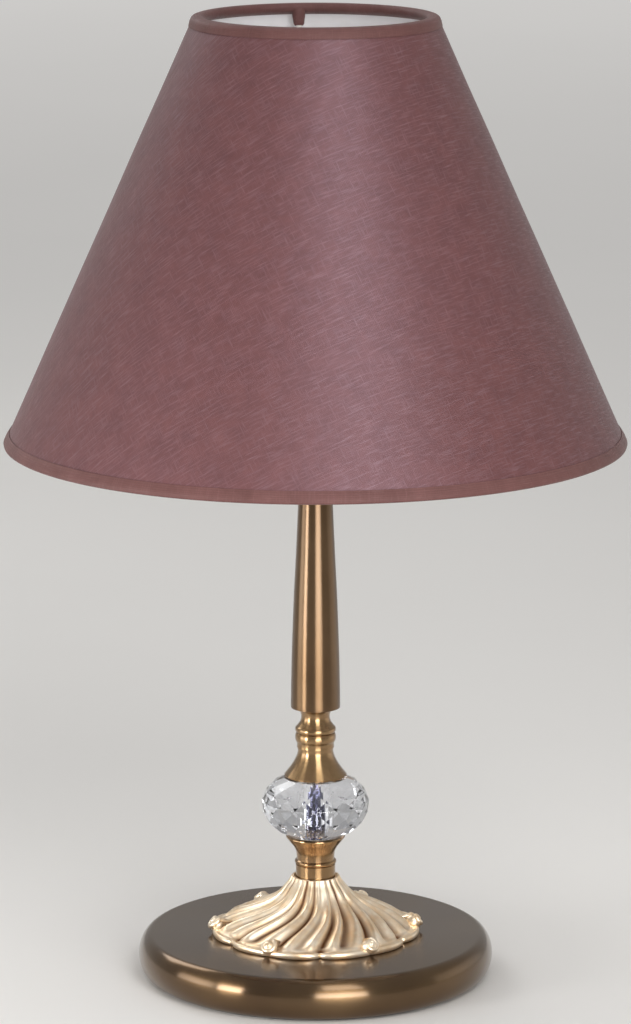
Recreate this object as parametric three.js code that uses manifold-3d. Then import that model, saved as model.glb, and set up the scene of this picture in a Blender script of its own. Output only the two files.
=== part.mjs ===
import * as THREE from "three";
import { ConvexGeometry } from "three/addons/geometries/ConvexGeometry.js";
import { mergeVertices } from "three/addons/utils/BufferGeometryUtils.js";
import Module from "manifold-3d";

const wasm = await Module();
wasm.setup();

// Table lamp with a spun base, a cast leaf rosette, a cut glass ball, a tapered stem and a cone shade.
// All sizes are in millimetres, Z is up, and the lamp's axis is the Z axis.

// General fits
const clearance = 0.3; // between pieces that pass through or beside each other
const rodRadius = 5; // hollow M10 rod that clamps the whole stack
const rodBore = 7.2;
const rodClearance = 0.4;
const boreRadius = rodRadius + rodClearance; // hole in every piece on the rod

// Base: felt, board, shell and the weight that hangs from the shell's flat top
const baseTopRadius = 85; // where the flat top starts to round over
const rimBulge = 7.1; // how far the rounded rim stands out beyond the flat top
const baseRadius = baseTopRadius + rimBulge;
const shellWall = 1.2;
const footLift = 0.8; // the shell's edge stays this far off the table
const feltThickness = 1.5;
const boardThickness = 2;
const boardClearance = 0.4;
const wiringSpace = 1; // between the board and the rod's lower end
const rodEnd = 1; // thread that shows below the nut
const nutThickness = 4;
const nutAcrossFlats = 14;
const washerThickness = 1.5;
const washerRadius = 11;
const weightThickness = 10;
const weightRadius = 62;
const weightDraft = 2; // the cast disc is this much smaller at its lower edge

// Cable inlet at the back of the base
const bushingBore = 6.4;
const bushingNeckRadius = 4.2;
const bushingFlangeRadius = 6;
const bushingFlange = 1.5;
const bushingBarbRadius = 4.8;
const bushingReach = 4.5; // from the shell's outside to the bushing's inner end

// Rosette
const rosetteHeight = 30.3;
const rosetteTopRadius = 13.8;
const rosetteRimRadius = 54.5;
const rosetteWall = 2;
const rimThickness = 1.4;
const lobeCount = 24;
const scallopCount = 12;
const voluteCount = 6;
const grooveDepth = 2;
const scallopDepth = 3;
const swirlAngle = 14; // degrees that the lobes turn from top to rim
const scallopStart = 2.5; // degrees from the front to the first notch of the rim
const voluteRadius = 3.7;
const voluteCircleRadius = 50.8;
const collarSeatDepth = 1.5; // the collar sits this deep in the rosette's top

// Turned pieces between the rosette and the stem
const collarRadius = 11;
const collarWaistRadius = 10.4;
const collarCupRadius = 16.1;
const collarHeight = 23.4;
const gasketThickness = 0.6;
const gasketRadius = 13;
const bellRadius = 16.9;
const bellNeckRadius = 9.4;
const bellHeight = 15.5;
const neckHeight = 21;
const neckBeadRadius = 10.6;
const neckWaistRadius = 7.4;

// Cut glass ball
const crystalRadius = 27.8;
const crystalHeight = 30.4;
const crystalLowerRadius = 15.6;
const crystalUpperRadius = 17.2;
const crystalFacets = 16;

// Stem
const stemLength = 164;
const stemBottomRadius = 12.8;
const stemTopRadius = 6.6;
const stemWall = 0.8;
const plugHeight = 5;
const stemCapWall = 1.3;
const stemCapSkirt = 3;
const stemCapPlate = 2.5;

// Lampholder with an E14 screw sleeve
const holderRadius = 14;
const holderWall = 1.5;
const holderCapHeight = 16;
const holderBodyHeight = 38;
const holderFloor = 4;
const insertHeight = 7;
const contactThickness = 1.2;
const contactRadius = 4;
const sleeveInnerRadius = 7.3;
const sleeveWall = 0.6;
const sleeveHeight = 22;
const rodIntoHolder = 7;
const shadeRingRadius = 18;
const shadeRingHeight = 6;
const shadeRingRise = 15; // from the holder body's lower end to the lower shade ring

// Bulb: golf ball shape on an E14 cap
const bulbRadius = 22.5;
const bulbLength = 78;
const bulbCapRadius = 6.95;
const bulbCapHeight = 24;
const bulbCapRimRadius = 8.2;
const bulbTipRadius = 2.4;
const bulbTipHeight = 2;

// Shade
const shadeBottomRadius = 160;
const shadeTopRadius = 62.15;
const shadeHeight = 218.9;
const shadeDrop = 154.2; // from the shade's top edge down to its fitter
const tapeThickness = 0.6;
const topTapeWidth = 6;
const bottomTapeWidth = 7;
const innerTapeWidth = 6;
const fabricThickness = 0.8;
const liningThickness = 0.6;
const wireRadius = 1.5;
const fitterThickness = 1.8;
const fitterRadius = 20.5;
const fitterClearance = 0.5; // round the lampholder
const spokeCount = 3;
const spokeTurn = 7.1; // degrees from straight back to the first spoke
const spokeElbowRadius = 27; // where each spoke turns from level to steep

// Sides of the round pieces
const baseSides = 48;
const shadeSides = 48;
const turnedSides = 24;
const smallSides = 20;
const wireSides = 5;

// Heights along the axis
const boardTop = feltThickness + boardThickness;
const rodBottom = boardTop + wiringSpace;
const nutBottom = rodBottom + rodEnd;
const washerBottom = nutBottom + nutThickness;
const weightBottom = washerBottom + washerThickness;
const weightTop = weightBottom + weightThickness;
const baseTop = weightTop + shellWall;
const rosetteTop = baseTop + rosetteHeight;
const collarBottom = rosetteTop - collarSeatDepth;
const collarTop = collarBottom + collarHeight;
const crystalBottom = collarTop + gasketThickness;
const crystalTop = crystalBottom + crystalHeight;
const bellBottom = crystalTop + gasketThickness;
const neckBottom = bellBottom + bellHeight;
const stemBottom = neckBottom + neckHeight;
const stemTop = stemBottom + stemLength;
const holderBottom = stemTop + stemCapPlate;
const bodyBottom = holderBottom + holderCapHeight;
const bodyTop = bodyBottom + holderBodyHeight;
const insertBottom = bodyBottom + holderFloor;
const insertTop = insertBottom + insertHeight;
const lowerRingBottom = bodyBottom + shadeRingRise;
const fitterBottom = lowerRingBottom + shadeRingHeight + clearance;
const upperRingBottom = fitterBottom + fitterThickness + clearance;
const tipBottom = insertTop + contactThickness + clearance;
const bulbCapBottom = tipBottom + bulbTipHeight;
const glassBottom = bulbCapBottom + bulbCapHeight;
const bulbTop = tipBottom + bulbLength;
const shadeTop = fitterBottom + shadeDrop;
const shadeBottom = shadeTop - shadeHeight;

// Finishes
const bronze = { color: 0x8a6a45, roughness: 0.32, metalness: 1 };
const polishedBronze = { color: 0xa57c4b, roughness: 0.2, metalness: 1 };
const castGold = { color: 0xd3b588, roughness: 0.42, metalness: 1 };
const steel = { color: 0x8f9296, roughness: 0.4, metalness: 1 };
const castIron = { color: 0x3b3a3a, roughness: 0.8, metalness: 0.6 };
const brass = { color: 0xc9a24f, roughness: 0.3, metalness: 1 };
const blackPlastic = { color: 0x1d1c1c, roughness: 0.45, metalness: 0 };
const whitePlastic = { color: 0xe9e6df, roughness: 0.5, metalness: 0 };
const clearGasket = { color: 0xd8dadb, roughness: 0.5, metalness: 0 };
const felt = { color: 0x2b2524, roughness: 0.95, metalness: 0 };
const hardboard = { color: 0x6a4f37, roughness: 0.85, metalness: 0 };
const cutGlass = { color: 0xeef2f4, roughness: 0.03, metalness: 0 };
const opalGlass = { color: 0xf4f1ea, roughness: 0.35, metalness: 0 };
const whiteWire = { color: 0xe8e4de, roughness: 0.45, metalness: 0.1 };
const cocoaFabric = { color: 0x7b5a57, roughness: 0.85, metalness: 0 };
const cocoaTape = { color: 0x6d4843, roughness: 0.85, metalness: 0 };
const whiteLining = { color: 0xf1efec, roughness: 0.6, metalness: 0 };

const lamp = new THREE.Group();

function addPart(name, geometry, finish) {
  const part = new THREE.Mesh(geometry, new THREE.MeshStandardMaterial(finish));
  part.name = name;
  lamp.add(part);
}

// A solid of revolution from points of radius and height that run round it with the outside on the right
function turned(points, sides = turnedSides) {
  const outline = points.map(([radius, height]) => new THREE.Vector2(radius, height));
  return new THREE.LatheGeometry(outline, sides).rotateX(Math.PI / 2);
}

function ring(innerRadius, outerRadius, bottom, top, sides = turnedSides) {
  const start = [innerRadius, bottom];
  return turned([start, [outerRadius, bottom], [outerRadius, top], [innerRadius, top], start], sides);
}

function disc(radius, bottom, top, sides = turnedSides) {
  return turned([[0, bottom], [radius, bottom], [radius, top], [0, top]], sides);
}

// Points along an elliptical arc, angles in degrees
function arc(centreRadius, centreHeight, halfWidth, halfHeight, fromAngle, toAngle, steps) {
  const points = [];
  for (let step = 0; step <= steps; step++) {
    const angle = THREE.MathUtils.degToRad(fromAngle + ((toAngle - fromAngle) * step) / steps);
    points.push([centreRadius + halfWidth * Math.cos(angle), centreHeight + halfHeight * Math.sin(angle)]);
  }
  return points;
}

// Points along a smooth line through the given points
function smooth(points, steps) {
  const curve = new THREE.SplineCurve(points.map(([radius, height]) => new THREE.Vector2(radius, height)));
  return curve.getPoints(steps).map((point) => [point.x, point.y]);
}

// A turned piece on the rod: its outside from bottom to top, closed by the bore
function boredPiece(outside, sides = turnedSides) {
  const bottom = outside[0][1];
  const top = outside[outside.length - 1][1];
  return turned([[boreRadius, bottom], ...outside, [boreRadius, top], [boreRadius, bottom]], sides);
}

function solidOf(geometry) {
  const bare = geometry.clone();
  for (const attribute of ["normal", "uv"]) {
    bare.deleteAttribute(attribute);
  }
  const welded = mergeVertices(bare, 1e-4);
  const triangles = [];
  for (let corner = 0; corner < welded.index.count; corner += 3) {
    const [a, b, c] = [0, 1, 2].map((offset) => welded.index.getX(corner + offset));
    if (a !== b && b !== c && c !== a) {
      triangles.push(a, b, c);
    }
  }
  const vertProperties = new Float32Array(welded.attributes.position.array);
  return new wasm.Manifold(new wasm.Mesh({ numProp: 3, vertProperties, triVerts: new Uint32Array(triangles) }));
}

function geometryOf(solid) {
  const mesh = solid.getMesh();
  const geometry = new THREE.BufferGeometry();
  geometry.setAttribute("position", new THREE.BufferAttribute(mesh.vertProperties, 3));
  geometry.setIndex(new THREE.BufferAttribute(mesh.triVerts, 1));
  return geometry;
}

// A round wire along a curve
function wireAlong(curve, radius, steps) {
  const section = new THREE.Shape();
  for (let side = 0; side < wireSides; side++) {
    const angle = (2 * Math.PI * side) / wireSides;
    const [x, y] = [radius * Math.cos(angle), radius * Math.sin(angle)];
    if (side === 0) {
      section.moveTo(x, y);
    } else {
      section.lineTo(x, y);
    }
  }
  return new THREE.ExtrudeGeometry(section, { steps, extrudePath: curve, bevelEnabled: false });
}

function wireHoop(radius, height) {
  return new THREE.TorusGeometry(radius, wireRadius, wireSides, shadeSides).translate(0, 0, height);
}

// Felt and hardboard close the base from below
function makeBaseFloor() {
  const radius = baseTopRadius - boardClearance;
  addPart("felt_pad", disc(radius, 0, feltThickness, baseSides), felt);
  addPart("base_board", disc(radius, feltThickness, boardTop, baseSides), hardboard);
}

const rimMiddle = (baseTop + footLift) / 2;

// Spun shell with a rounded rim, a hole for the rod and one for the cable's bushing
function makeBaseShell() {
  const halfWidth = rimBulge;
  const halfHeight = (baseTop - footLift) / 2;
  const outside = arc(baseTopRadius, rimMiddle, halfWidth, halfHeight, -90, 90, 7);
  const inside = arc(baseTopRadius, rimMiddle, halfWidth - shellWall, halfHeight - shellWall, 90, -90, 4);
  const hole = [[boreRadius, baseTop], [boreRadius, baseTop - shellWall]];
  const shell = turned([...outside, ...hole, ...inside, outside[0]], baseSides);
  const cableHole = disc(bushingNeckRadius + clearance, baseTopRadius, baseRadius + 1, smallSides);
  const placedHole = cableHole.rotateX(-Math.PI / 2).translate(0, 0, rimMiddle);
  addPart("base_shell", geometryOf(solidOf(shell).subtract(solidOf(placedHole))), bronze);
}

function makeCableBushing() {
  const bore = bushingBore / 2;
  const flangeBack = baseRadius + clearance / 2;
  const innerEnd = baseRadius - bushingReach;
  const wallHalfWidth = rimBulge - shellWall;
  const wallHalfHeight = (baseTop - footLift) / 2 - shellWall;
  const wallAtBarb = baseTopRadius + wallHalfWidth * Math.sqrt(1 - (bushingBarbRadius / wallHalfHeight) ** 2);
  const barbFront = wallAtBarb - 2 * clearance;
  const profile = [
    [bore, innerEnd],
    [bushingNeckRadius, innerEnd],
    [bushingBarbRadius, barbFront],
    [bushingNeckRadius, barbFront],
    [bushingNeckRadius, flangeBack],
    [bushingFlangeRadius, flangeBack],
    [bushingFlangeRadius, flangeBack + bushingFlange / 2],
    [bushingFlangeRadius - bushingFlange / 2, flangeBack + bushingFlange],
    [bore, flangeBack + bushingFlange],
    [bore, innerEnd],
  ];
  const bushing = turned(profile, smallSides).rotateX(-Math.PI / 2).translate(0, 0, rimMiddle);
  addPart("cable_bushing", bushing, blackPlastic);
}

// Weight, washer and nut on the lower end of the rod
function makeBaseWeight() {
  const outside = [[weightRadius - weightDraft, weightBottom], [weightRadius, weightTop]];
  addPart("base_weight", boredPiece(outside, baseSides), castIron);
  addPart("base_washer", ring(boreRadius, washerRadius, washerBottom, weightBottom, smallSides), steel);
  const hexagon = new THREE.Shape();
  const cornerRadius = nutAcrossFlats / 2 / Math.cos(Math.PI / 6);
  for (let corner = 0; corner < 6; corner++) {
    const angle = (Math.PI / 3) * corner;
    const [x, y] = [cornerRadius * Math.cos(angle), cornerRadius * Math.sin(angle)];
    if (corner === 0) {
      hexagon.moveTo(x, y);
    } else {
      hexagon.lineTo(x, y);
    }
  }
  hexagon.holes.push(new THREE.Path().absarc(0, 0, boreRadius, 0, 2 * Math.PI));
  const nut = new THREE.ExtrudeGeometry(hexagon, { depth: nutThickness, bevelEnabled: false, curveSegments: 10 });
  addPart("base_nut", nut.translate(0, 0, nutBottom), steel);
}

function makeRod() {
  addPart("threaded_rod", ring(rodBore / 2, rodRadius, rodBottom, holderBottom + rodIntoHolder, smallSides), steel);
}

// Crown line of the rosette's lobes: share of the way from top radius to rim, and share of the height
const crownShares = [
  [0, 1],
  [0.044, 0.835],
  [0.152, 0.66],
  [0.3, 0.548],
  [0.496, 0.432],
  [0.693, 0.27],
  [0.889, 0.125],
  [1, rimThickness / rosetteHeight],
];
const crownCurve = new THREE.SplineCurve(
  crownShares.map(([reach, rise]) => {
    const radius = rosetteTopRadius + (rosetteRimRadius - rosetteTopRadius) * reach;
    return new THREE.Vector2(radius, baseTop + rosetteHeight * rise);
  }),
);

// How far round the rim a point is: 0 in a notch of the pattern, 1 on the crown between two notches
function crownShape(angle, count, sharpness) {
  return Math.abs(Math.sin((count * angle) / 2)) ** sharpness;
}

// One point of the leaf surface, from its share of the way down and its angle round the axis
function leafPoint(down, angle) {
  const crown = crownCurve.getPointAt(down);
  const tangent = crownCurve.getTangentAt(down);
  const swirl = THREE.MathUtils.degToRad(swirlAngle) * THREE.MathUtils.smoothstep(down, 0.2, 0.95);
  const depth = grooveDepth * (0.25 + 0.75 * Math.sin(Math.PI * Math.min(down * 1.15, 0.85)));
  const groove = depth * (1 - crownShape(angle, lobeCount, 0.6));
  const rimAngle = angle - swirl;
  const notchAngle = rimAngle - THREE.MathUtils.degToRad(scallopStart);
  const notch = scallopDepth * down ** 6 * (1 - crownShape(notchAngle, scallopCount, 0.7));
  const radius = crown.x + tangent.y * groove - notch;
  const height = Math.max(crown.y - tangent.x * groove, baseTop + rimThickness);
  return new THREE.Vector3(radius * Math.sin(rimAngle), -radius * Math.cos(rimAngle), height);
}

// Leaf surface as a closed body, flat below and above
function leafBody() {
  const rows = 9;
  const columns = lobeCount * 4;
  const positions = [];
  const triangles = [];
  for (let row = 0; row <= rows; row++) {
    for (let column = 0; column < columns; column++) {
      positions.push(leafPoint(row / rows, (2 * Math.PI * column) / columns));
    }
  }
  const rim = positions.slice(rows * columns);
  positions.push(...rim.map((point) => new THREE.Vector3(point.x, point.y, baseTop)));
  const topCentre = positions.push(new THREE.Vector3(0, 0, rosetteTop)) - 1;
  const bottomCentre = positions.push(new THREE.Vector3(0, 0, baseTop)) - 1;
  const lastRow = (rows + 1) * columns;
  for (let column = 0; column < columns; column++) {
    const next = (column + 1) % columns;
    for (let start = 0; start < lastRow; start += columns) {
      const below = start + columns;
      triangles.push(start + column, below + column, start + next);
      triangles.push(start + next, below + column, below + next);
    }
    triangles.push(topCentre, column, next);
    triangles.push(bottomCentre, lastRow + next, lastRow + column);
  }
  const leaf = new THREE.BufferGeometry().setFromPoints(positions);
  leaf.setIndex(triangles);
  return leaf;
}

// Small curled balls in every other notch of the rim
function voluteBalls() {
  const balls = [];
  for (let index = 0; index < voluteCount; index++) {
    const turn = THREE.MathUtils.degToRad(scallopStart + 360 / voluteCount / 2 + (360 / voluteCount) * index);
    const ball = new THREE.SphereGeometry(voluteRadius, 8, 6).rotateX(Math.PI / 2);
    const height = baseTop + voluteRadius;
    ball.translate(voluteCircleRadius * Math.sin(turn), -voluteCircleRadius * Math.cos(turn), height);
    balls.push(ball);
  }
  return balls;
}

// Cast rosette: swirled lobes, scalloped rim, hollow below and with a seat for the collar
function makeRosette() {
  let body = solidOf(leafBody());
  const hollow = [];
  const steps = 4;
  for (let step = 0; step <= steps; step++) {
    const down = 0.93 - (0.78 * step) / steps;
    const crown = crownCurve.getPointAt(down);
    const tangent = crownCurve.getTangentAt(down);
    const inward = rosetteWall + grooveDepth;
    hollow.push([crown.x + tangent.y * inward, Math.max(crown.y - tangent.x * inward, baseTop + 0.5)]);
  }
  const hollowTop = hollow[hollow.length - 1][1];
  const hollowRim = hollow[0][0];
  body = body.subtract(solidOf(turned([[0, baseTop - 1], [hollowRim, baseTop - 1], ...hollow, [0, hollowTop]])));
  for (const ball of voluteBalls()) {
    body = body.add(solidOf(ball));
  }
  const seat = disc(collarRadius + clearance, collarBottom, rosetteTop + 1);
  body = body.subtract(solidOf(seat)).subtract(solidOf(disc(boreRadius, baseTop, rosetteTop, smallSides)));
  addPart("rosette", geometryOf(body), castGold);
}

// Collar with a small bead and a cup that carries the glass
function makeCollar() {
  const beadHeight = collarBottom + collarHeight * 0.39;
  const flare = smooth([
    [collarWaistRadius, collarBottom + collarHeight * 0.5],
    [collarWaistRadius * 1.04, collarBottom + collarHeight * 0.63],
    [collarWaistRadius * 1.2, collarBottom + collarHeight * 0.76],
    [collarCupRadius * 0.9, collarBottom + collarHeight * 0.87],
    [collarCupRadius, collarTop - 0.8],
  ], 6);
  const outside = [
    [collarRadius, collarBottom],
    [collarRadius, beadHeight - 1],
    [collarRadius + 0.4, beadHeight],
    [collarRadius - 0.2, beadHeight + 1],
    ...flare,
    [collarCupRadius - 0.6, collarTop],
  ];
  addPart("lower_collar", boredPiece(outside), polishedBronze);
}

// Cut glass ball: rings of points, each turned half a facet against the last, make flat lozenges
function makeCrystal() {
  const rings = [
    [crystalLowerRadius, 0],
    [crystalRadius * 0.825, 0.15],
    [crystalRadius * 0.965, 0.35],
    [crystalRadius, 0.53],
    [crystalRadius * 0.95, 0.71],
    [crystalRadius * 0.83, 0.875],
    [crystalUpperRadius, 1],
  ];
  const points = [];
  rings.forEach(([radius, rise], level) => {
    for (let facet = 0; facet < crystalFacets; facet++) {
      const angle = (2 * Math.PI * (facet + (level % 2) / 2)) / crystalFacets;
      const height = crystalBottom + crystalHeight * rise;
      points.push(new THREE.Vector3(radius * Math.sin(angle), -radius * Math.cos(angle), height));
    }
  });
  const hole = disc(boreRadius, crystalBottom - 1, crystalTop + 1, smallSides);
  addPart("crystal", geometryOf(solidOf(new ConvexGeometry(points)).subtract(solidOf(hole))), cutGlass);
  addPart("crystal_gasket_lower", ring(boreRadius, gasketRadius, collarTop, crystalBottom, smallSides), clearGasket);
  addPart("crystal_gasket_upper", ring(boreRadius, gasketRadius, crystalTop, bellBottom, smallSides), clearGasket);
}

// Bell that sits on the glass, and the beaded neck between bell and stem
function makeBellAndNeck() {
  const flare = smooth([
    [bellRadius, bellBottom + 0.6],
    [bellRadius * 0.91, bellBottom + bellHeight * 0.17],
    [bellRadius * 0.79, bellBottom + bellHeight * 0.34],
    [bellRadius * 0.69, bellBottom + bellHeight * 0.51],
    [bellNeckRadius * 1.07, bellBottom + bellHeight * 0.69],
    [bellNeckRadius, bellBottom + bellHeight * 0.86],
    [bellNeckRadius * 1.03, neckBottom],
  ], 7);
  addPart("bell_cup", boredPiece([[bellRadius - 0.5, bellBottom], ...flare]), polishedBronze);
  const beadHeight = 1.6;
  const lowerBead = neckBottom + neckHeight * 0.25;
  const upperBead = neckBottom + neckHeight * 0.45;
  const waist = smooth([
    [neckBeadRadius * 0.9, upperBead + beadHeight * 1.2],
    [neckWaistRadius * 1.08, neckBottom + neckHeight * 0.65],
    [neckWaistRadius, neckBottom + neckHeight * 0.78],
    [neckWaistRadius * 1.1, neckBottom + neckHeight * 0.91],
    [neckWaistRadius * 1.3, stemBottom],
  ], 5);
  const outside = [
    [bellNeckRadius * 1.03, neckBottom],
    ...arc(neckBeadRadius - 1, lowerBead, 1, beadHeight * 1.6, -70, 70, 4),
    ...arc(neckBeadRadius - 0.9, upperBead, 1, beadHeight, -60, 60, 3),
    ...waist,
  ];
  addPart("neck_collar", boredPiece(outside), polishedBronze);
}

// Stem radius at a share of its length: nearly straight at the foot, then drawn in towards the top
const stemShares = [[0, 0], [0.15, 0.065], [0.345, 0.242], [0.5, 0.445], [0.65, 0.618], [1, 1]];
const stemCurve = new THREE.SplineCurve(
  stemShares.map(([rise, taper]) => {
    const radius = stemBottomRadius + (stemTopRadius - stemBottomRadius) * taper;
    return new THREE.Vector2(radius, stemBottom + stemLength * rise);
  }),
);

// Hollow stem, closed by a plug below and a skirted cap above
function makeStem() {
  const outside = stemCurve.getPoints(10).map((point) => [point.x, point.y]);
  const inside = stemCurve.getPoints(5).map((point) => [point.x - stemWall, point.y]).reverse();
  addPart("stem_tube", turned([...outside, ...inside, outside[0]]), bronze);
  const plugRadius = stemBottomRadius - stemWall - 1.5 * clearance;
  addPart("stem_plug", ring(boreRadius, plugRadius, stemBottom, stemBottom + plugHeight), bronze);
  const skirtRadius = stemTopRadius + 2 * clearance;
  const capProfile = [
    [boreRadius, stemTop],
    [skirtRadius, stemTop],
    [skirtRadius, stemTop - stemCapSkirt],
    [skirtRadius + stemCapWall, stemTop - stemCapSkirt],
    [skirtRadius + stemCapWall, stemTop + stemCapPlate - 0.7],
    [skirtRadius + stemCapWall - 0.7, holderBottom],
    [boreRadius, holderBottom],
    [boreRadius, stemTop],
  ];
  addPart("stem_cap", turned(capProfile, smallSides), polishedBronze);
}

// Lampholder: cap on the rod, threaded body, insert, centre contact and screw sleeve
function makeLampholder() {
  const capInside = holderRadius - holderWall;
  const capProfile = [
    [boreRadius, holderBottom],
    [holderRadius - 4, holderBottom],
    ...arc(holderRadius - 4, holderBottom + 5, 4, 5, -60, 0, 3),
    [holderRadius, bodyBottom],
    [capInside, bodyBottom],
    [capInside, holderBottom + 5],
    [capInside - 3, holderBottom + 2 * holderWall],
    [boreRadius, holderBottom + 2 * holderWall],
    [boreRadius, holderBottom],
  ];
  addPart("holder_cap", turned(capProfile, smallSides), blackPlastic);
  const inside = holderRadius - holderWall;
  const wireHole = holderRadius / 2;
  const bodyProfile = [
    [wireHole, bodyBottom],
    [holderRadius, bodyBottom],
    [holderRadius, bodyTop],
    [inside, bodyTop],
    [inside, insertBottom],
    [wireHole, insertBottom],
    [wireHole, bodyBottom],
  ];
  addPart("holder_body", turned(bodyProfile, smallSides), blackPlastic);
  addPart("holder_insert", disc(inside - clearance, insertBottom, insertTop, smallSides), whitePlastic);
  addPart("holder_contact", disc(contactRadius, insertTop, insertTop + contactThickness, 16), brass);
  const sleeveRadius = sleeveInnerRadius + sleeveWall;
  const sleeve = ring(sleeveInnerRadius, sleeveRadius, insertTop, insertTop + sleeveHeight, smallSides);
  addPart("holder_sleeve", sleeve, brass);
}

// A threaded ring on the lampholder; two of them hold the shade's fitter between them
function makeShadeRing(name, bottom) {
  const outside = shadeRingRadius;
  const inside = holderRadius + clearance;
  const top = bottom + shadeRingHeight;
  const profile = [
    [inside, bottom],
    [outside - 0.8, bottom],
    [outside, bottom + 0.8],
    [outside, top - 0.8],
    [outside - 0.8, top],
    [inside, top],
    [inside, bottom],
  ];
  addPart(name, turned(profile), blackPlastic);
}

// Bulb: contact tip, screw cap and opal glass
function makeBulb() {
  addPart("bulb_tip", disc(bulbTipRadius, tipBottom, bulbCapBottom, 16), steel);
  const capProfile = [
    [0, bulbCapBottom],
    [bulbTipRadius + 0.8, bulbCapBottom],
    [bulbCapRadius, bulbCapBottom + 3.5],
    [bulbCapRadius, glassBottom - 6],
    [bulbCapRimRadius, glassBottom - 2],
    [bulbCapRimRadius, glassBottom],
    [0, glassBottom],
  ];
  addPart("bulb_cap", turned(capProfile, smallSides), steel);
  const centre = bulbTop - bulbRadius;
  const neck = smooth([
    [bulbCapRimRadius - 0.6, glassBottom],
    [bulbCapRimRadius + 1, glassBottom + 4.5],
    [bulbRadius * Math.cos(Math.PI / 4), centre - bulbRadius * Math.sin(Math.PI / 4)],
  ], 4);
  const globe = arc(0, centre, bulbRadius, bulbRadius, -36, 90, 8);
  globe[globe.length - 1][0] = 0;
  addPart("bulb_glass", turned([[0, glassBottom], ...neck, ...globe], smallSides), opalGlass);
}

// The shade's slant: a point by its height and its depth inside the outer face, square to that face
const slantLength = Math.hypot(shadeHeight, shadeBottomRadius - shadeTopRadius);
const slope = (shadeBottomRadius - shadeTopRadius) / shadeHeight;
function slantPoint(height, depth) {
  return [shadeTopRadius + slope * (shadeTop - height) - (depth * slantLength) / shadeHeight, height];
}

// A conical layer of the shade between two heights and two depths
function coneLayer(bottom, top, outerDepth, innerDepth) {
  const start = slantPoint(bottom, innerDepth);
  const outline = [start, slantPoint(bottom, outerDepth), slantPoint(top, outerDepth), slantPoint(top, innerDepth)];
  return turned([...outline, start], shadeSides);
}

const fabricDepth = tapeThickness + clearance;
const liningDepth = fabricDepth + fabricThickness + clearance;
const wireDepth = liningDepth + liningThickness + clearance + wireRadius;
const innerTapeDepth = wireDepth + wireRadius + clearance;
const edgeGap = tapeThickness + clearance;
const topWireHeight = shadeTop - edgeGap - wireRadius;
const bottomWireHeight = shadeBottom + edgeGap + wireRadius;

// Fabric and white lining, kept inside the tapes that bind both edges
function makeShadeCover() {
  const bottom = shadeBottom + edgeGap;
  const top = shadeTop - edgeGap;
  addPart("shade_cover", coneLayer(bottom, top, fabricDepth, fabricDepth + fabricThickness), cocoaFabric);
  addPart("shade_lining", coneLayer(bottom, top, liningDepth, liningDepth + liningThickness), whiteLining);
}

// Folded tape over an edge: outer leg, turn over the edge, inner leg beyond the wire
function makeTrims() {
  const rise = shadeHeight / slantLength;
  const topProfile = [
    slantPoint(shadeTop - topTapeWidth * rise, tapeThickness),
    slantPoint(shadeTop - topTapeWidth * rise, 0),
    slantPoint(shadeTop, 0),
    slantPoint(shadeTop, innerTapeDepth + tapeThickness),
    slantPoint(topWireHeight + clearance, innerTapeDepth + tapeThickness),
    slantPoint(topWireHeight + clearance, innerTapeDepth),
    slantPoint(shadeTop - tapeThickness, innerTapeDepth),
    slantPoint(shadeTop - tapeThickness, tapeThickness),
  ];
  addPart("top_trim", turned([...topProfile, topProfile[0]], shadeSides), cocoaTape);
  const bottomProfile = [
    slantPoint(shadeBottom, 0),
    slantPoint(shadeBottom + bottomTapeWidth * rise, 0),
    slantPoint(shadeBottom + bottomTapeWidth * rise, tapeThickness),
    slantPoint(shadeBottom + tapeThickness, tapeThickness),
    slantPoint(shadeBottom + tapeThickness, innerTapeDepth),
    slantPoint(shadeBottom + innerTapeWidth * rise, innerTapeDepth),
    slantPoint(shadeBottom + innerTapeWidth * rise, innerTapeDepth + tapeThickness),
    slantPoint(shadeBottom, innerTapeDepth + tapeThickness),
  ];
  addPart("bottom_trim", turned([...bottomProfile, bottomProfile[0]], shadeSides), cocoaTape);
}

// Wire frame: upper hoop, three spokes with an elbow, and the flat fitter ring, welded together
function makeShadeFrame() {
  const hoopRadius = slantPoint(topWireHeight, wireDepth)[0];
  const fitterMiddle = fitterBottom + fitterThickness / 2;
  let frame = solidOf(ring(holderRadius + fitterClearance, fitterRadius, fitterBottom, fitterBottom + fitterThickness));
  frame = frame.add(solidOf(wireHoop(hoopRadius, topWireHeight)));
  const spokeFoot = fitterBottom + fitterThickness + wireRadius - 0.5;
  const rise = (topWireHeight - spokeFoot) / (hoopRadius - spokeElbowRadius);
  for (let index = 0; index < spokeCount; index++) {
    const angle = THREE.MathUtils.degToRad(90 + spokeTurn + (360 / spokeCount) * index);
    const along = (radius, height) => new THREE.Vector3(radius * Math.cos(angle), radius * Math.sin(angle), height);
    const elbow = along(spokeElbowRadius, fitterMiddle);
    const bend = 5;
    const afterBend = along(spokeElbowRadius + bend / rise, fitterMiddle + bend);
    const path = new THREE.CurvePath();
    path.add(new THREE.LineCurve3(along(fitterRadius - 1.5, fitterMiddle), along(spokeElbowRadius - bend, fitterMiddle)));
    path.add(new THREE.QuadraticBezierCurve3(along(spokeElbowRadius - bend, fitterMiddle), elbow, afterBend));
    path.add(new THREE.LineCurve3(afterBend, along(hoopRadius, topWireHeight)));
    frame = frame.add(solidOf(wireAlong(path, wireRadius, 10)));
  }
  addPart("shade_frame", geometryOf(frame), whiteWire);
  const lowerHoopRadius = slantPoint(bottomWireHeight, wireDepth)[0];
  addPart("bottom_wire", wireHoop(lowerHoopRadius, bottomWireHeight), whiteWire);
}

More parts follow.
